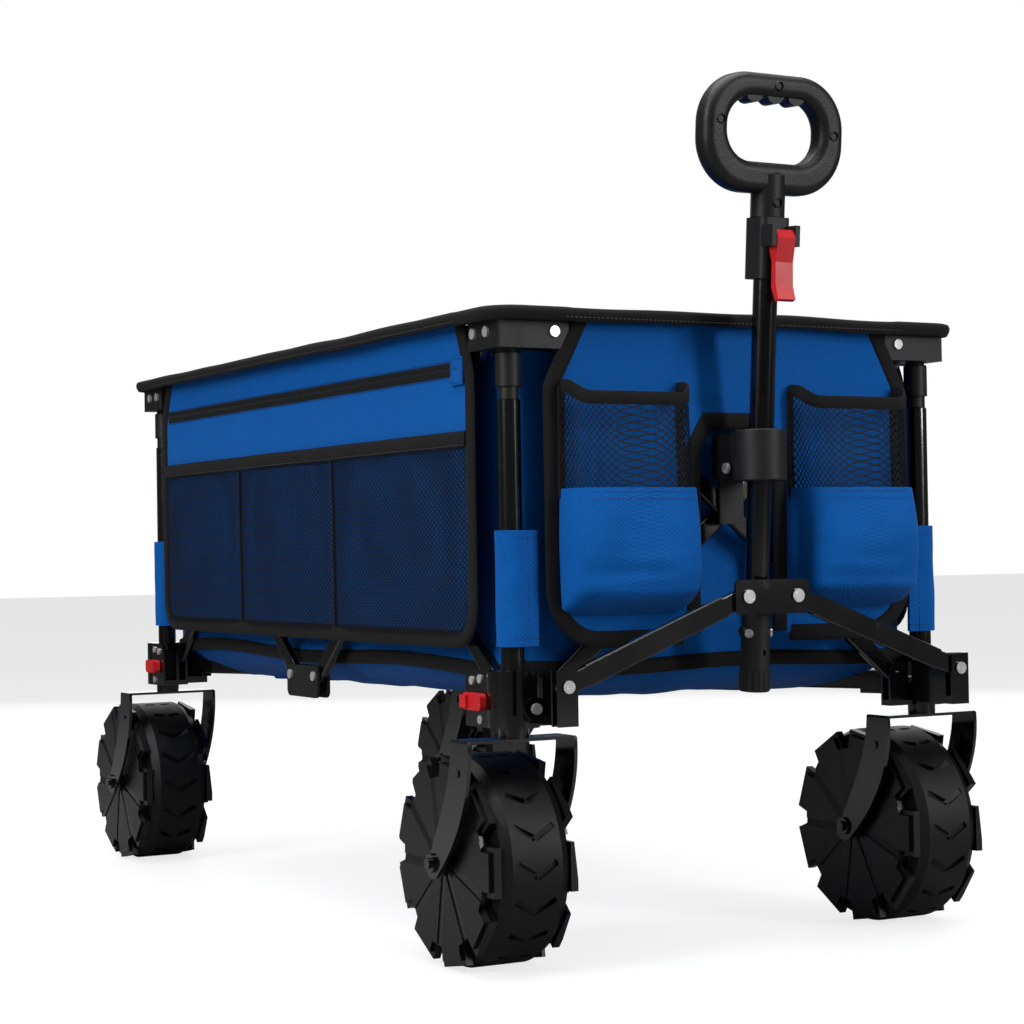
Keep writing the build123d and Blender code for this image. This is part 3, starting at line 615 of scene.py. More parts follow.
BELLY_LOW = 0.246
for (end, side), post in POST.items():
    sx, sy = ENDS[end], SIDES[side]

    def mat(s, t):
        z = TUB_LOW + 0.0012 + crease(s * sx, t * sy, 0.1, 0.0022, 3.0)
        return (MID_X + sx * s, sy * t, z)

    def belly(s, t):
        edge = min(WALL_X - s, (WALL_Y - t) * 1.4) / 0.11
        depth = 1 - (1 - min(max(edge, 0), 1)) ** 2.2
        lift = 0.006 * math.exp(-((s / WALL_X * WALL_Y - t) / 0.03) ** 2)
        z = TUB_LOW - 0.004 - (TUB_LOW - 0.004 - BELLY_LOW) * depth
        z += depth * (crease(s * sx, t * sy, 0.6, 0.006, 9.0) - lift)
        return (MID_X + sx * s, sy * t, max(z, BELLY_LOW - 0.012))

    long, short = steps(0, WALL_X - 0.003, 40), steps(0, WALL_Y - 0.003, 22)
    floor_mat = finish_cloth(grid(f"bag_floor_{end}_{side}", long, short, mat, blue_cloth))
    long, short = steps(0, WALL_X - 0.001, 44), steps(0, WALL_Y - 0.001, 26)
    under = finish_cloth(grid(f"bag_belly_{end}_{side}", long, short, belly, blue_cloth))
    for piece in (floor_mat, under):
        with_link(piece, end, side)

# ------------------------------------------------------------ binding
# Black woven tape, folded over each raw edge and sewn down with one row of
# black thread: round the rim, the bottom seam, the panels and the pockets.
binding_tape = new_material(
    "black_binding",
    cloth,
    {
        "Warp": (0.003, 0.003, 0.0034, 1), "Weft": (0.010, 0.010, 0.011, 1), "Yarns": 2400.0,
        "Rough Low": 0.7, "Rough High": 0.85,
    },
    0.5,
    0.0006,
    Sheen_Weight=0.03,
    Specular_IOR_Level=0.2,
)


def sweep(name, path, facing, half_wide, half_thick):
    """A flat oval tape along a path. facing is the way its flat side looks."""
    around = 10
    facing = Vector(facing).normalized()
    points, lengths, run = [Vector(p) for p in path], [], 0.0
    verts = []
    for n, point in enumerate(points):
        before = points[n - 1] if n else point
        after = points[n + 1] if n + 1 < len(points) else point
        ahead = (after - before).normalized()
        out = facing.cross(ahead).normalized()
        up = ahead.cross(out).normalized()
        run += (point - points[n - 1]).length if n else 0
        lengths.append(run)
        for k in range(around):
            turn = 2 * math.pi * k / around
            wide = math.copysign(abs(math.cos(turn)) ** 0.6, math.cos(turn)) * half_wide
            thick = math.copysign(abs(math.sin(turn)) ** 0.8, math.sin(turn)) * half_thick
            verts.append(point + out * wide + up * thick)
    spots = []
    for a, b in zip(lengths, lengths[1:]):
        for k in range(around):
            spots += [(a, k), (a, k + 1), (b, k + 1), (b, k)]
    spots += [(end, k) for end in (lengths[0], lengths[-1]) for k in range(around)]
    piece = mesh_piece(name, verts, ring_faces(len(points), around), binding_tape)
    uv = piece.data.uv_layers.new(name=THREAD_UV)
    for loop, (u, k) in zip(piece.data.loops, spots):
        uv.data[loop.index].uv = (u, k * half_wide * 0.45)
    in_edit(piece, face_out)
    bpy.ops.object.shade_smooth_by_angle(angle=math.radians(55))
    return piece


def thread_material(name, base, rubbed):
    """Sewing thread in a colour."""
    values = {"Base": base, "Rubbed": rubbed, "Patch Scale": 300.0, "Rough Low": 0.5, "Rough High": 0.7}
    return new_material(name, moulded, values, 0.2, 0.0003)


thread = thread_material("sewing_thread", (0.002, 0.03, 0.16, 1), (0.004, 0.06, 0.3, 1))
black_thread = thread_material("black_thread", (0.05, 0.05, 0.053, 1), (0.09, 0.09, 0.09, 1))


def stitches(name, path, facing, material=thread, length=0.0032, gap=0.0016, radius=0.00042):
    """A row of thread stitches lying along a path on cloth."""
    points = [Vector(p) for p in path]
    facing = Vector(facing).normalized()
    verts, faces, left = [], [], 0.0
    for a, b in zip(points, points[1:]):
        ahead = (b - a).normalized()
        out = facing.cross(ahead).normalized()
        run, whole = left, (b - a).length
        while run < whole:
            faces += ring_faces(4, 4, len(verts))
            centre = a + ahead * run
            for share, size in ((-0.5, 0.35), (-0.25, 1), (0.25, 1), (0.5, 0.35)):
                for k in range(4):
                    turn = math.pi / 2 * k
                    way = out * math.cos(turn) + facing * math.sin(turn)
                    verts.append(centre + ahead * share * length + way * radius * size)
            run += length + gap
        left = run - whole
    piece = mesh_piece(name, verts, faces, material)
    in_edit(piece, face_out)
    return piece


def tape(name, line, facing, half_wide, half_thick, hang, *where):
    """Binding tape, hung like the cloth that it is sewn to."""
    piece = sweep(name, line, facing, half_wide, half_thick)
    hang(piece, *where)
    return piece


SEAM_Z, SEAM_OUT, SEAM_END = TUB_LOW - 0.004, 0.001, 0.004
for end, sx in ENDS.items():
    x, reach = MID_X + sx * (WALL_X + SEAM_OUT), WALL_Y - SEAM_END
    seam = [(x, y, SEAM_Z + 0.002 * math.sin(y * 21 + sx)) for y in steps(-reach, reach, 40)]
    tape(f"bottom_binding_{end}", seam, (sx, 0, 0), 0.0075, 0.0028, hang_end, end, WALL_Y)
for side, sy in SIDES.items():
    y, reach = sy * (WALL_Y + SEAM_OUT), WALL_X - SEAM_END
    seam = [(MID_X + x, y, SEAM_Z + 0.003 * math.sin(x * 13 + sy)) for x in steps(-reach, reach, 70)]
    tape(f"bottom_binding_{side}", seam, (0, sy, 0), 0.0075, 0.0028, hang_side, side, WALL_X)

# ------------------------------------------------------------ rim
# The bag's top edge turns out over the caps as a stiffened flange of black
# cloth, its outer edge bound with wide tape. Four lengths gather between four
# corners that are fixed to the caps.
RIM_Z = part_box("bag_rim")[0].z
RIM_X, RIM_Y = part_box("bag_rim")[1].x - MID_X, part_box("bag_rim")[1].y
RIM_R, CORNER_REACH = 0.030, 0.045
RIM_PROFILE = [
    (0.0, 0.0002), (0.35, 0.0), (0.80, 0.0002), (0.84, -0.0045), (0.89, -0.0078),
    (0.96, -0.0072), (1.0, -0.003), (1.01, 0.0012), (0.985, 0.0042), (0.93, 0.0052),
    (0.86, 0.0045), (0.80, 0.0030), (0.35, 0.0024), (0.0, 0.0024),
]


def rim_piece(name, rails):
    """Lofts the flange between inner and outer rails, as (inner, outer, z) rings."""
    verts, spots, run = [], [], 0.0
    for n, (inner, outer, z) in enumerate(rails):
        if n:
            run += (Vector(outer) - Vector(rails[n - 1][1])).length
        for share, rise in RIM_PROFILE:
            x, y = (i + (o - i) * share for i, o in zip(inner, outer))
            verts.append((x, y, z + rise))
            spots.append((run, share * 0.048 + rise))
    faces = ring_faces(len(rails), len(RIM_PROFILE))
    piece = mesh_piece(name, verts, faces, binding_tape, spots)
    in_edit(piece, face_out)
    bpy.ops.object.shade_smooth_by_angle(angle=math.radians(50))
    return piece


def rim_wave(along, seed, reach):
    """The flange waves a little, but lies true where it meets a corner."""
    if abs(along) >= reach - 0.001:
        return RIM_Z
    return RIM_Z + 0.0022 * noise.noise(Vector((along * 9, seed, 0)))


SEW_OUT, SEW_Z = 0.0006, RIM_Z - 0.0045
for end, sx in ENDS.items():
    reach = HALF_Y - CORNER_REACH
    inner, outer = MID_X + sx * WALL_X, MID_X + sx * RIM_X
    rails = [((inner, y), (outer, y), rim_wave(y, sx, reach)) for y in steps(-reach, reach, 44)]
    piece = rim_piece(f"rim_{end}", rails)
    hang_end(piece, end, reach)
    if end == "front":
        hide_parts("bag_rim")
    row = [(MID_X + sx * (RIM_X + SEW_OUT), y, SEW_Z) for y in (-reach, reach)]
    hang_end(stitches(f"rim_stitch_{end}", row, (sx, 0, 0), black_thread), end, reach)
for side, sy in SIDES.items():
    reach = HALF_X - CORNER_REACH
    inner, outer = sy * WALL_Y, sy * RIM_Y
    rails = [
        ((MID_X + x, inner), (MID_X + x, outer), rim_wave(x, sy + 5, reach))
        for x in steps(-reach, reach, 80)
    ]
    hang_side(rim_piece(f"rim_{side}", rails), side, reach)
    row = [(MID_X + x, sy * (RIM_Y + SEW_OUT), SEW_Z) for x in (-reach, reach)]
    hang_side(stitches(f"rim_stitch_{side}", row, (0, sy, 0), black_thread), side, reach)

TURNS, RUN_IN = 9, 4
for end, sx in ENDS.items():
    for side, sy in SIDES.items():
        inner_c, outer_c = (WALL_X - WALL_R, WALL_Y - WALL_R), (RIM_X - RIM_R, RIM_Y - RIM_R)
        start_y, stop_x = HALF_Y - CORNER_REACH, HALF_X - CORNER_REACH
        rails = []
        for share in (n / RUN_IN for n in range(RUN_IN + 1)):
            inner_y, outer_y = (start_y + (c[1] - start_y) * share for c in (inner_c, outer_c))
            rails.append(((WALL_X, inner_y), (RIM_X, outer_y)))
        for n in range(1, TURNS + 1):
            turn = math.pi / 2 * n / TURNS
            rails.append(
                tuple(
                    (c[0] + radius * math.cos(turn), c[1] + radius * math.sin(turn))
                    for c, radius in ((inner_c, WALL_R), (outer_c, RIM_R))
                )
            )
        for share in (n / RUN_IN for n in range(1, RUN_IN + 1)):
            inner_x, outer_x = (c[0] + (stop_x - c[0]) * share for c in (inner_c, outer_c))
            rails.append(((inner_x, WALL_Y), (outer_x, RIM_Y)))
        rails = [((MID_X + sx * i[0], sy * i[1]), (MID_X + sx * o[0], sy * o[1]), RIM_Z) for i, o in rails]
        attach(rim_piece(f"rim_corner_{end}_{side}", rails), f"cap_{end}_{side}")

# ------------------------------------------------------------ front panel
# A second skin of the blue polyester hangs in front of the end cross, cut out
# round the collar and bound all round. It carries the two cup pockets.
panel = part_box("front_pocket_panel")
PANEL_X = MID_X + 0.4806
PANEL_LOW, PANEL_TOP = panel[0].z, panel[1].z
CUT_TOP, CUT_TAPER, CUT_HALF, CUT_NECK = 0.515, 0.485, 0.051, 0.034
OUT_HALF, SHOULDER, NECK_HALF, FOOT_R = 0.205, 0.545, 0.170, 0.050


def outline_reach(z, low, half, shoulder, neck, radius):
    """Half width of a panel at a height: round at its foot, drawn in over its shoulder."""
    if z < low + radius:
        drop = radius - (z - low)
        return half - radius + math.sqrt(max(radius**2 - drop**2, 0))
    if z < shoulder:
        return half
    return half + (neck - half) * (z - shoulder) / (PANEL_TOP - shoulder)


def panel_reach(z):
    """Half width of the front panel at a height."""
    return outline_reach(z, PANEL_LOW, OUT_HALF, SHOULDER, NECK_HALF, FOOT_R)


def cut_reach(z):
    """Half width of the cut-out at a height."""
    if z < CUT_TAPER:
        return CUT_HALF
    return CUT_HALF + (CUT_NECK - CUT_HALF) * min((z - CUT_TAPER) / (CUT_TOP - CUT_TAPER), 1)


def panel_bulge(y, z):
    """How far the hanging panel stands out from its flat place."""
    free = max(0, 1 - (y / OUT_HALF) ** 2)
    sag = 0.003 * math.sin(math.pi * (z - PANEL_LOW) / (PANEL_TOP - PANEL_LOW))
    broad = crease(0.7, y, z, 0.0035, 12.0)
    return 0.002 + free * (sag + broad) + crease(0.1, y, z * 1.4, 0.0016, 17.0)


def on_panel(y, z):
    return Vector((PANEL_X + panel_bulge(y, z), y, z))


# two legs beside the cut-out, and a yoke above it in three parts
leg_rows = [PANEL_LOW + FOOT_R * (1 - math.cos(math.pi / 2 * n / 7)) for n in range(7)]
leg_rows += steps(PANEL_LOW + FOOT_R, CUT_TOP, 26)
yoke_rows = steps(CUT_TOP, PANEL_TOP, 12)
patches = []
for sign in (-1, 1):

    def half_panel(s, t):
        inner = cut_reach(t)
        return on_panel(sign * (inner + (panel_reach(t) - inner) * s), t)

    for rows in (leg_rows, yoke_rows):
        patches.append(grid("front_panel", steps(0, 1, 14), rows, half_panel, blue_cloth))
patches.append(grid("front_panel", steps(-CUT_NECK, CUT_NECK, 8), yoke_rows, on_panel, blue_cloth))
for patch in patches:
    true_threads(patch, 1)
select(*patches)
bpy.ops.object.join()
front_panel = finish_cloth(patches[0])
hang_end(front_panel, "front")
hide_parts("front_pocket_panel")

FOOT_Y, FOOT_Z = OUT_HALF - FOOT_R, PANEL_LOW + FOOT_R
outline = [(-panel_reach(z), z) for z in steps(PANEL_TOP - 0.002, FOOT_Z, 30)]
for n in range(1, 9):
    turn = math.pi / 2 * n / 8
    outline.append((-FOOT_Y - FOOT_R * math.cos(turn), FOOT_Z - FOOT_R * math.sin(turn)))
outline += [(-CUT_HALF - y, PANEL_LOW) for y in steps(FOOT_Y - CUT_HALF, 0, 8)][1:-1]
rise = [(-cut_reach(z), z) for z in steps(PANEL_LOW + 0.002, CUT_TAPER, 16) + steps(CUT_TAPER, CUT_TOP, 4)[1:]]
top = [(y, CUT_TOP) for y in steps(-CUT_NECK, CUT_NECK, 6)[1:]]
cut_line = rise + top + [(-y, z) for y, z in reversed(rise)][1:]
for n, path in enumerate((outline, [(-y, z) for y, z in outline], cut_line)):
    line = [on_panel(y, z) for y, z in path]
    tape(f"front_panel_binding_{n}", line, (1, 0, 0), 0.0085, 0.0026, hang_end, "front")

# ------------------------------------------------------------ cup pockets
# Two pockets on the front panel: a deep cup of the blue polyester, hemmed with
# a double row, and above it a collar of black diamond net with a bound mouth.
net, given, made = new_group(
    "diamond_net",
    [("Cell Wide", 0.0066), ("Cell Tall", 0.0046), ("Cord", 0.3), ("Cord Color", (0.008, 0.01, 0.014, 1))],
    ("Alpha", "NodeSocketFloat"),
)
net_uv = net.nodes.new("ShaderNodeUVMap")
net_uv.uv_map = THREAD_UV
parts = net.nodes.new("ShaderNodeSeparateXYZ")
net.links.new(net_uv.outputs["UV"], parts.inputs[0])
u_cells = maths(net, "DIVIDE", parts.outputs[0], given.outputs["Cell Wide"])
v_cells = maths(net, "DIVIDE", parts.outputs[1], given.outputs["Cell Tall"])
sway = maths(net, "MULTIPLY", noise_in(net, net.nodes.new("ShaderNodeTexCoord").outputs["Object"], 45.0), 0.12)
nearest = []
for operation in ("ADD", "SUBTRACT"):
    slant = maths(net, "ADD", maths(net, operation, u_cells, v_cells), sway)
    nearest.append(maths(net, "ABSOLUTE", maths(net, "SUBTRACT", maths(net, "FRACT", slant), 0.5)))
crossing = maths(net, "MAXIMUM", *nearest)
edge = maths(net, "SUBTRACT", 0.5, maths(net, "MULTIPLY", given.outputs["Cord"], 0.5))
net.links.new(maths(net, "GREATER_THAN", crossing, edge), made.inputs["Alpha"])
net.links.new(given.outputs["Cord Color"], made.inputs["Color"])
net.links.new(maths(net, "MULTIPLY_ADD", sway, 1.2, 0.5), made.inputs["Roughness"])
net.links.new(crossing, made.inputs["Height"])
cell = {"Cell Wide": 0.0086, "Cell Tall": 0.0066, "Cord": 0.2}
cup_net = new_material("cup_net", net, cell, 0.4, 0.0008, Specular_IOR_Level=0.15)

CUP_IN, CUP_OUT, CUP_DEEP, CUP_LOW, CUP_HEM, CUP_MOUTH = 0.062, 0.198, 0.046, 0.338, 0.449, 0.533
CUP_MID, CUP_HALF = (CUP_IN + CUP_OUT) / 2, (CUP_OUT - CUP_IN) / 2


def cup_plan(s, depth, half, power=4.2):
    """Plan of a pocket: 0 to 1 from one seam round its front to the other."""
    turn = math.pi * s
    c, q = math.cos(turn), math.sin(turn)
    y = -math.copysign(abs(c) ** (2 / power), c) * half
    return y, depth * abs(q) ** (2 / power)


for side, sy in SIDES.items():
    seam_y = sy * CUP_MID

    def cup(s, t):
        """The blue cup: full at the hem and middle, drawn in under its base."""
        rise = (t - CUP_LOW) / (CUP_HEM - CUP_LOW)
        full = min(1, (max(rise, 0) / 0.13)) ** 0.5
        depth = CUP_DEEP * (0.92 + 0.16 * math.sin(math.pi * min(rise * 0.9 + 0.1, 1)))
        depth *= 0.06 + 0.94 * full
        half = CUP_HALF * (0.985 + 0.025 * math.sin(math.pi * rise))
        y, out = cup_plan(s, depth, half)
        loose = full * math.sin(math.pi * s)
        wrinkle = crease(0.2 * sy, y * 1.2, t * 1.3, 0.0085, 21.0 + sy)
        out += loose * (1 - 0.75 * max(rise, 0) ** 4) * wrinkle
        tuck = 0.0045 * noise.noise(Vector((y * 14, t * 85, sy)))
        out += loose * (1 - min(rise, 1)) ** 2 * tuck
        base = PANEL_X + panel_bulge(seam_y + y, t)
        drop = 0.007 * (1 - full) * math.sin(math.pi * s)
        return (base + max(out, 0.0004), seam_y + y, t - drop)

    rows = [CUP_LOW + (CUP_HEM - CUP_LOW) * (n / 30) ** 1.7 for n in range(31)]
    piece = finish_cloth(grid(f"cup_{side}", steps(0, 1, 56), rows, cup, blue_cloth), 0.0018)
    thread_length(piece, 0.21)
    hang_end(piece, "front")
    for drop in (0.0035, 0.0105):
        row = [Vector(cup(s, CUP_HEM - drop)) + Vector((0.001, 0, 0)) for s in steps(0.06, 0.94, 40)]
        hang_end(stitches(f"cup_stitch_{side}_{drop * 1e4:.0f}", row, (1, 0, 0)), "front")

    def mouth(s):
        """Height of the net's mouth: it dips between its two fixings."""
        return CUP_MOUTH + 0.012 * abs(math.cos(math.pi * s)) ** 6

    def collar(s, t):
        share = (t - CUP_HEM) / (CUP_MOUTH - CUP_HEM)
        z = CUP_HEM - 0.006 + (mouth(s) - CUP_HEM + 0.006) * share
        depth = CUP_DEEP * (0.84 - 0.1 * share)
        y, out = cup_plan(s, depth, CUP_HALF * (0.975 - 0.02 * share))
        out += math.sin(math.pi * s) * math.sin(math.pi * share) * crease(0.4 * sy, y, z, 0.006, 31.0)
        return (PANEL_X + panel_bulge(seam_y + y, z) + max(out, 0.0004), seam_y + y, z)

    piece = grid(f"cup_net_{side}", steps(0, 1, 48), steps(CUP_HEM, CUP_MOUTH, 14), collar, cup_net)
    thread_length(piece, 0.2)
    finish_cloth(piece, 0.0005)
    hang_end(piece, "front")
    rim_line = [Vector(collar(s, CUP_MOUTH)) for s in steps(0, 1, 44)]
    tape(f"cup_binding_{side}", rim_line, (0, 0, 1), 0.0016, 0.0065, hang_end, "front")
    for n, s in enumerate((0.0, 1.0)):
        heights = steps(CUP_HEM - 0.002, CUP_MOUTH, 12)
        line = [Vector(collar(s, t)) + Vector((0.002, 0, 0)) for t in heights]
        tape(f"cup_edge_{side}_{n}", line, (1, 0, 0), 0.004, 0.0016, hang_end, "front")

# ------------------------------------------------------------ side panels
# Each long side hangs outside the scissors: a bound blue panel with a coil zip
# across the top and one long pocket of black net in three bays below it.
SIDE_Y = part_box("side_pocket_panels")[1].y - 0.0118
SIDE_LOW, SIDE_HALF, SIDE_SHOULDER, SIDE_NECK, SIDE_R = 0.308, 0.418, 0.560, 0.396, 0.030
ZIP_Z, ZIP_HALF = 0.567, 0.400
NET_TOP, BAYS, SEAM_IN = 0.503, (-0.16, 0.105), 0.006


def side_reach(z):
    """Half length of a side panel at a height."""
    return outline_reach(z, SIDE_LOW, SIDE_HALF, SIDE_SHOULDER, SIDE_NECK, SIDE_R)


def side_bulge(x, z, sy):
    free = max(0, 1 - (x / SIDE_HALF) ** 2) ** 0.5
    free *= math.sin(math.pi * (z - SIDE_LOW) / (PANEL_TOP - SIDE_LOW))
    return free * (0.0015 + crease(x, 0.5 * sy, z, 0.003, 41.0)) + crease(x * 1.5, 0, z, 0.0012, 47.0)


def on_side(x, z, sy, proud=0.0):
    return Vector((MID_X + x, sy * (SIDE_Y + side_bulge(x, z, sy) + proud), z))


cell = {"Cell Wide": 0.0074, "Cell Tall": 0.0056, "Cord": 0.27}
side_net = new_material("side_net", net, cell, 0.4, 0.0008, Specular_IOR_Level=0.15)
coil_look = {
    "Base": (0.012, 0.012, 0.013, 1),
    "Rubbed": (0.06, 0.06, 0.06, 1),
    "Patch Scale": 90.0,
    "Rough Low": 0.3,
    "Rough High": 0.5,
}
zip_nylon = new_material("zip_coil", moulded, coil_look, 0.2, 0.0003)

BEND_X, BEND_Z, SEW_PROUD = SIDE_HALF - SIDE_R, SIDE_LOW + SIDE_R, 0.0012
for side, sy in SIDES.items():
    way = (0, sy, 0)
    rows = [SIDE_LOW + SIDE_R * (1 - math.cos(math.pi / 2 * n / 6)) for n in range(6)]
    rows += steps(BEND_Z, PANEL_TOP, 40)

    def hung(s, t):
        return on_side(s * side_reach(t), t, sy)

    piece = grid(f"side_panel_{side}", steps(-1, 1, 110), rows, hung, blue_cloth)
    true_threads(piece, 0)
    finish_cloth(piece)
    hang_side(piece, side)
    if side == "right":
        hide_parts("side_pocket_panels")

    fall = [(-side_reach(z), z) for z in steps(PANEL_TOP - 0.002, BEND_Z, 30)]
    for n in range(1, 8):
        turn = math.pi / 2 * n / 7
        fall.append((-BEND_X - SIDE_R * math.cos(turn), BEND_Z - SIDE_R * math.sin(turn)))
    base = [(x, SIDE_LOW) for x in steps(-BEND_X, BEND_X, 70)][1:-1]
    outline = fall + base + [(-x, z) for x, z in reversed(fall)]
    line = [on_side(x, z, sy, 0.0006) for x, z in outline]
    tape(f"side_binding_{side}", line, way, 0.0085, 0.0027, hang_side, side)

    # zip: tape, coil and stitches, with a stitched blue garage at its front end
    line = [on_side(x, ZIP_Z, sy, 0.0014) for x in steps(-ZIP_HALF, ZIP_HALF, 90)]
    tape(f"zip_tape_{side}", line, way, 0.0068, 0.0008, hang_side, side)
    line = [p + Vector(way) * SEW_PROUD for p in line]
    hang_side(stitches(f"zip_coil_{side}", line, way, zip_nylon, 0.0016, 0.0006, 0.0017), side)
    for n, rise in enumerate((-0.0082, 0.0082)):
        row = [on_side(x, ZIP_Z + rise, sy, SEW_PROUD) for x in steps(-ZIP_HALF, ZIP_HALF, 60)]
        hang_side(stitches(f"zip_stitch_{side}_{n}", row, way), side)

    def garage(s, t):
        return on_side(s, t, sy, 0.0032)

    heights = steps(ZIP_Z - 0.016, ZIP_Z + 0.011, 6)
    tab = finish_cloth(grid(f"zip_garage_{side}", steps(0.383, 0.409, 6), heights, garage, blue_cloth), 0.0012)
    hang_side(tab, side)
    cross = [(0.385, 0.009), (0.407, 0.009), (0.407, -0.014), (0.385, -0.014), (0.385, 0.009), (0.407, -0.014)]
    row = [on_side(x, ZIP_Z + z, sy, 0.0042) for x, z in cross]
    hang_side(stitches(f"zip_garage_stitch_{side}", row, way, thread, 0.0024, 0.0014), side)

    # net pocket: three bays that belly out between the seams
    seams = (-SIDE_HALF + SEAM_IN, *BAYS, SIDE_HALF - SEAM_IN)

    def net_point(x, z):
        a, b = next((a, b) for a, b in zip(seams, seams[1:]) if x <= b + 1e-6)
        share = (x - a) / (b - a)
        rise = (z - SIDE_LOW) / (NET_TOP - SIDE_LOW)
        upright = 0.35 + 0.65 * math.sin(math.pi * min(max(rise, 0), 1)) ** 0.8
        belly_out = math.sin(math.pi * share) ** 0.7 * upright
        rucks = 0.0028 * noise.noise(Vector((x * 17 + z * 9, z * 7, 3.3 + sy))) * belly_out
        return on_side(x, z, sy, 0.0022 + 0.0075 * belly_out + rucks)

    columns = [x for a, b in zip(seams, seams[1:]) for x in steps(a, b, 30)[:-1]] + [seams[-1]]
    piece = grid(f"side_net_{side}", columns, steps(SIDE_LOW + 0.004, NET_TOP, 30), net_point, side_net)
    finish_cloth(piece, 0.0005)
    hang_side(piece, side)
    top = [net_point(x, NET_TOP) + Vector((0, sy * 0.0008, -0.004)) for x in columns]
    tape(f"side_net_binding_{side}", top, way, 0.0078, 0.0018, hang_side, side)
    for n, x in enumerate(BAYS):
        heights = steps(SIDE_LOW + SEAM_IN, NET_TOP + 0.004, 20)
        row = [on_side(x, z, sy, 0.0032) for z in heights]
        tape(f"side_seam_{side}_{n}", row, way, 0.0016, 0.0009, hang_side, side)
    row = [net_point(x, NET_TOP - 0.010) + Vector((0, sy * 0.0022, 0)) for x in columns]
    hang_side(stitches(f"side_net_stitch_{side}_0", row, way, black_thread), side)

# ------------------------------------------------------------ post sleeves
# The bag's lower corners are held to the posts by stitched blue sleeves: one
# width of cloth goes round the tube and is sewn to itself in a flat tail.
SLEEVE_LOW, SLEEVE_TOP, SLEEVE_R = 0.303, 0.411, 0.0142
TAIL, TAIL_SHARE, HEM = 0.022, 0.2, 0.007
for (end, side), post in POST.items():
    sx, sy = ENDS[end], SIDES[side]

    def sleeve_at(s, t):
        """Once round: in along the tail's front, round the post and back."""
        size = SLEEVE_R + 0.0012 * noise.noise(Vector((s * 5, t * 28, 60 + sx + 3 * sy)))
        if s < TAIL_SHARE:
            far = 1 - s / TAIL_SHARE
            x, y = size * (1 - 0.25 * far), -far * TAIL
        elif s > 1 - TAIL_SHARE:
            far = (s - 1 + TAIL_SHARE) / TAIL_SHARE
            x, y = -size + (size * 1.75 - 0.0022) * min(1, far * 1.6), -far * TAIL
        else:
            turn = math.pi * (s - TAIL_SHARE) / (1 - 2 * TAIL_SHARE)
            x, y = size * math.cos(turn), size * math.sin(turn)
        return (post.x + sx * x, post.y + sy * y, t)

    heights = steps(SLEEVE_LOW, SLEEVE_TOP, 16)
    piece = grid(f"post_sleeve_{end}_{side}", steps(0, 1, 50), heights, sleeve_at, blue_cloth)
    finish_cloth(piece, 0.0016)
    thread_length(piece, 0.09)
    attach(piece, f"post_{end}_{side}")
    tail_x, tail_y = post.x + sx * (SLEEVE_R * 0.86 + 0.001), post.y - sy * 0.011
    rows = [[(tail_x, tail_y, z) for z in (SLEEVE_LOW, SLEEVE_TOP)]]
    for z in (SLEEVE_TOP - HEM, SLEEVE_LOW + HEM):
        rows.append([Vector(sleeve_at(s, z)) + Vector((sx * 0.0009, 0, 0)) for s in steps(0.02, 0.45, 12)])
    for n, row in enumerate(rows):
        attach(stitches(f"sleeve_stitch_{end}_{side}_{n}", row, (sx, 0, 0)), f"post_{end}_{side}")

# ------------------------------------------------------------ link sleeves
# Short blue sleeves under the belly keep the bag's floor on the floor links.
for (end, side), post in POST.items():
    pin = joints[f"floor_link_{end}_{side}_pin"]
    start = Vector(pin["pos_m"])
    inward = (Vector((MID_X, 0, start.z)) - start).normalized()
    out = inward.cross(Vector((0, 0, 1)))

    def sock(s, t):
        turn = 2 * math.pi * s
        wide = math.copysign(abs(math.cos(turn)) ** 0.55, math.cos(turn)) * 0.0082
        tall = math.copysign(abs(math.sin(turn)) ** 0.55, math.sin(turn)) * 0.0115
        wave = 1 + 0.1 * noise.noise(Vector((s * 6, t * 30, 80)))
        return start + inward * t + out * wide * wave + Vector((0, 0, tall * wave - 0.001))

    piece = grid(f"link_sleeve_{end}_{side}", steps(0, 1, 28), steps(0.13, 0.30, 14), sock, blue_cloth)
    finish_cloth(piece, 0.0014)
    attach(piece, f"floor_link_{end}_{side}")

# ------------------------------------------------------------ grip
# The oval grip is two shells of glass-filled nylon with a leather-like spark
# texture, closed by five black screws sunk in its front.
grip_skin = new_material(
    "textured_grip",
    moulded,
    {
        "Base": (0.006, 0.006, 0.0063, 1), "Rubbed": (0.02, 0.02, 0.02, 1), "Patch Scale": 18.0,
        "Grain Scale": 520.0, "Rough Low": 0.4, "Rough High": 0.52, "Scuffs": 0.15,
    },
    0.4,
    0.0007,
    Specular_IOR_Level=0.35,
)
paint(grip_skin, "handle_grip")
forward = Vector((lean.z, 0, -lean.x))
RING_MID = COLUMN + lean * (0.4401 + 0.082)
SCREW_R, SCREW_TALL = 0.0048, 0.002
screw_mesh = head_mesh(
    24,
    SCREW_R,
    SCREW_TALL,
    0,
    35,
    lambda: bpy.ops.mesh.bevel(offset=0.0006, segments=2, affect="EDGES"),
    lambda: bpy.ops.mesh.inset(thickness=0.0018),
    lambda: bpy.ops.mesh.extrude_region_move(TRANSFORM_OT_translate={"value": (0, 0, -0.0012)}),
)
SCREW_FACE, STEM_FACE, SCREW_SUNK = 0.0136, 0.0165, 0.0004
spots = []
for y, rise, face in (
    (0.0, 0.0445, SCREW_FACE),
    (-0.0645, 0.009, SCREW_FACE),
    (0.0655, 0.002, SCREW_FACE),
    (0.0, -0.0415, SCREW_FACE),
    (0.0, -0.0655, STEM_FACE),
):
    spot = RING_MID + lean * rise + forward * (face - SCREW_SUNK) + Vector((0, y, 0))
    spots.append((spot, forward, 1))
heads("grip_screws", screw_mesh, "handle", nylon, spots)

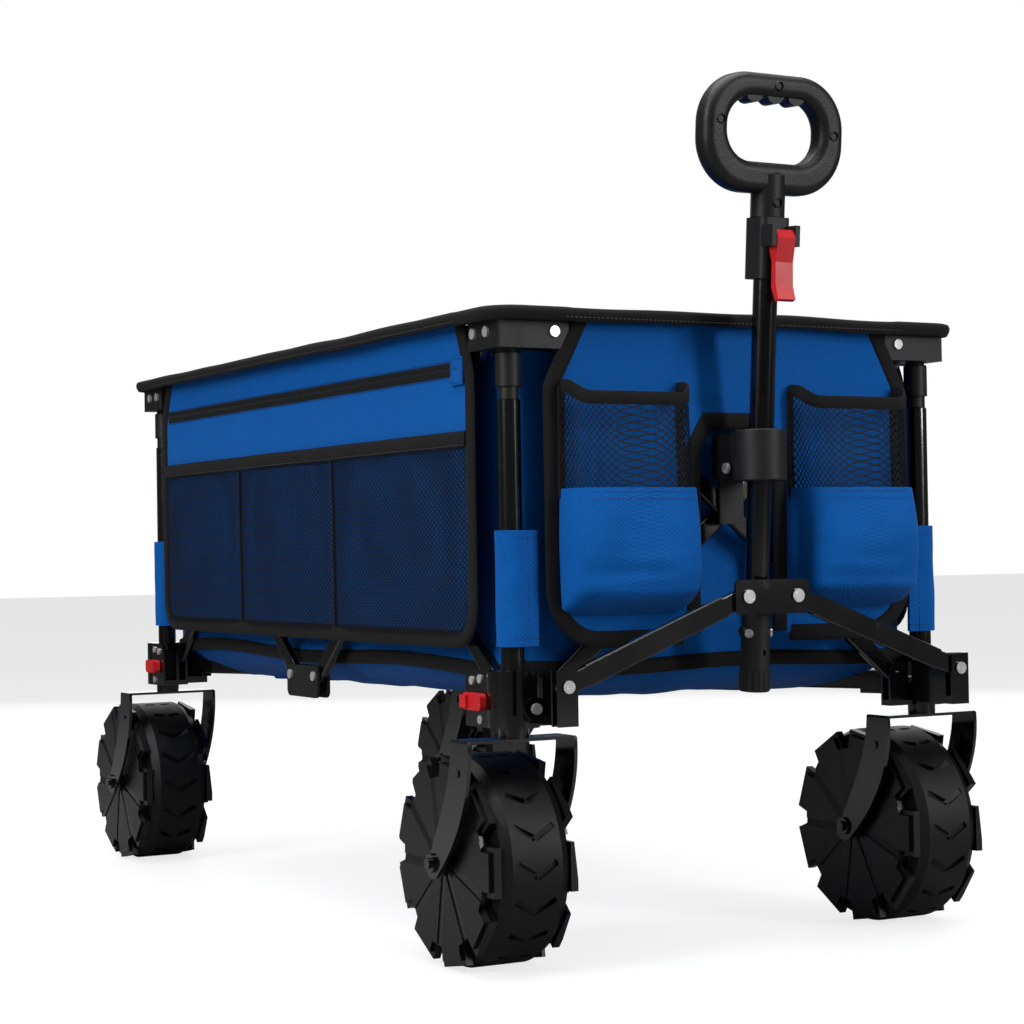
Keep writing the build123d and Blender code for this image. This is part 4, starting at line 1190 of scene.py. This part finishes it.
# ------------------------------------------------------------ studio
# A pale seamless floor, a white room, and large soft lights: one broad over
# the cart, one tall at the camera's left, and a weaker one on its right.
bpy.ops.mesh.primitive_plane_add(size=40, location=(0, 0, cad_box[0].z))
floor = bpy.context.object
floor.name = "floor"
floor_paper = bpy.data.materials.new("white_paper")
floor_paper.use_nodes = True
tree = floor_paper.node_tree
paper = tree.nodes["Principled BSDF"]
paper.inputs["Roughness"].default_value = 0.6
paper.inputs["Base Color"].default_value = (0.26, 0.26, 0.262, 1)
paper.inputs["Specular IOR Level"].default_value = 0.1
paper.inputs["Emission Strength"].default_value = 0.76
tree.links.new(tree.nodes.new("ShaderNodeLightPath").outputs["Is Camera Ray"], paper.inputs["Emission Color"])
floor.data.materials.append(floor_paper)

room = bpy.data.worlds.new("white_room")
bpy.context.scene.world = room
room.use_nodes = True
tree = room.node_tree
seen = tree.nodes.new("ShaderNodeBackground")
seen.inputs["Color"].default_value = (1, 1, 1, 1)
seen.inputs["Strength"].default_value = 1.0
lit = tree.nodes["Background"]
lit.inputs["Color"].default_value = (0.95, 0.97, 1, 1)
lit.inputs["Strength"].default_value = 0.09
choose = tree.nodes.new("ShaderNodeMixShader")
tree.links.new(tree.nodes.new("ShaderNodeLightPath").outputs["Is Camera Ray"], choose.inputs[0])
tree.links.new(lit.outputs[0], choose.inputs[1])
tree.links.new(seen.outputs[0], choose.inputs[2])
tree.links.new(choose.outputs[0], tree.nodes["World Output"].inputs["Surface"])


def softbox(name, spot, aim, wide, tall, power):
    """A rectangular area light aimed at a point."""
    light = bpy.data.lights.new(name, "AREA")
    light.shape, light.size, light.size_y, light.energy = "RECTANGLE", wide, tall, power
    lamp = linked(name, light)
    lamp.location = spot
    lamp.rotation_euler = (Vector(aim) - Vector(spot)).to_track_quat("-Z", "Y").to_euler()
    lamp.visible_camera = False


softbox("overhead", (0.2, -0.2, 2.8), (0, 0, 0), 2.6, 2.6, 92)
softbox("key_left", (0.9, -3.0, 1.9), (0, 0, 0.4), 0.7, 2.0, 66)
softbox("fill_right", (3.1, 1.5, 1.6), (0.4, 0, 0.4), 0.45, 2.0, 50)
softbox("backdrop", (-2.8, 1.7, 1.2), (0, 0, 0.6), 4.4, 2.0, 34)

lens = bpy.data.cameras.new("camera")
camera = linked("camera", lens)
YAW, PITCH, ROLL = math.radians(151.27), math.radians(1.008), math.radians(-0.924)
look = Vector((math.cos(YAW) * math.cos(PITCH), math.sin(YAW) * math.cos(PITCH), math.sin(PITCH)))
right = Vector((math.sin(YAW), -math.cos(YAW), 0))
up = right.cross(look)
right, up = right * math.cos(ROLL) + up * math.sin(ROLL), up * math.cos(ROLL) - right * math.sin(ROLL)
EYE = Matrix.Translation((2.3181, -1.2417, 0.3913))
camera.matrix_world = EYE @ Matrix((right, up, -look)).transposed().to_4x4()
lens.lens = 78.8
bpy.context.scene.camera = camera
bpy.context.scene.view_settings.view_transform = "Standard"
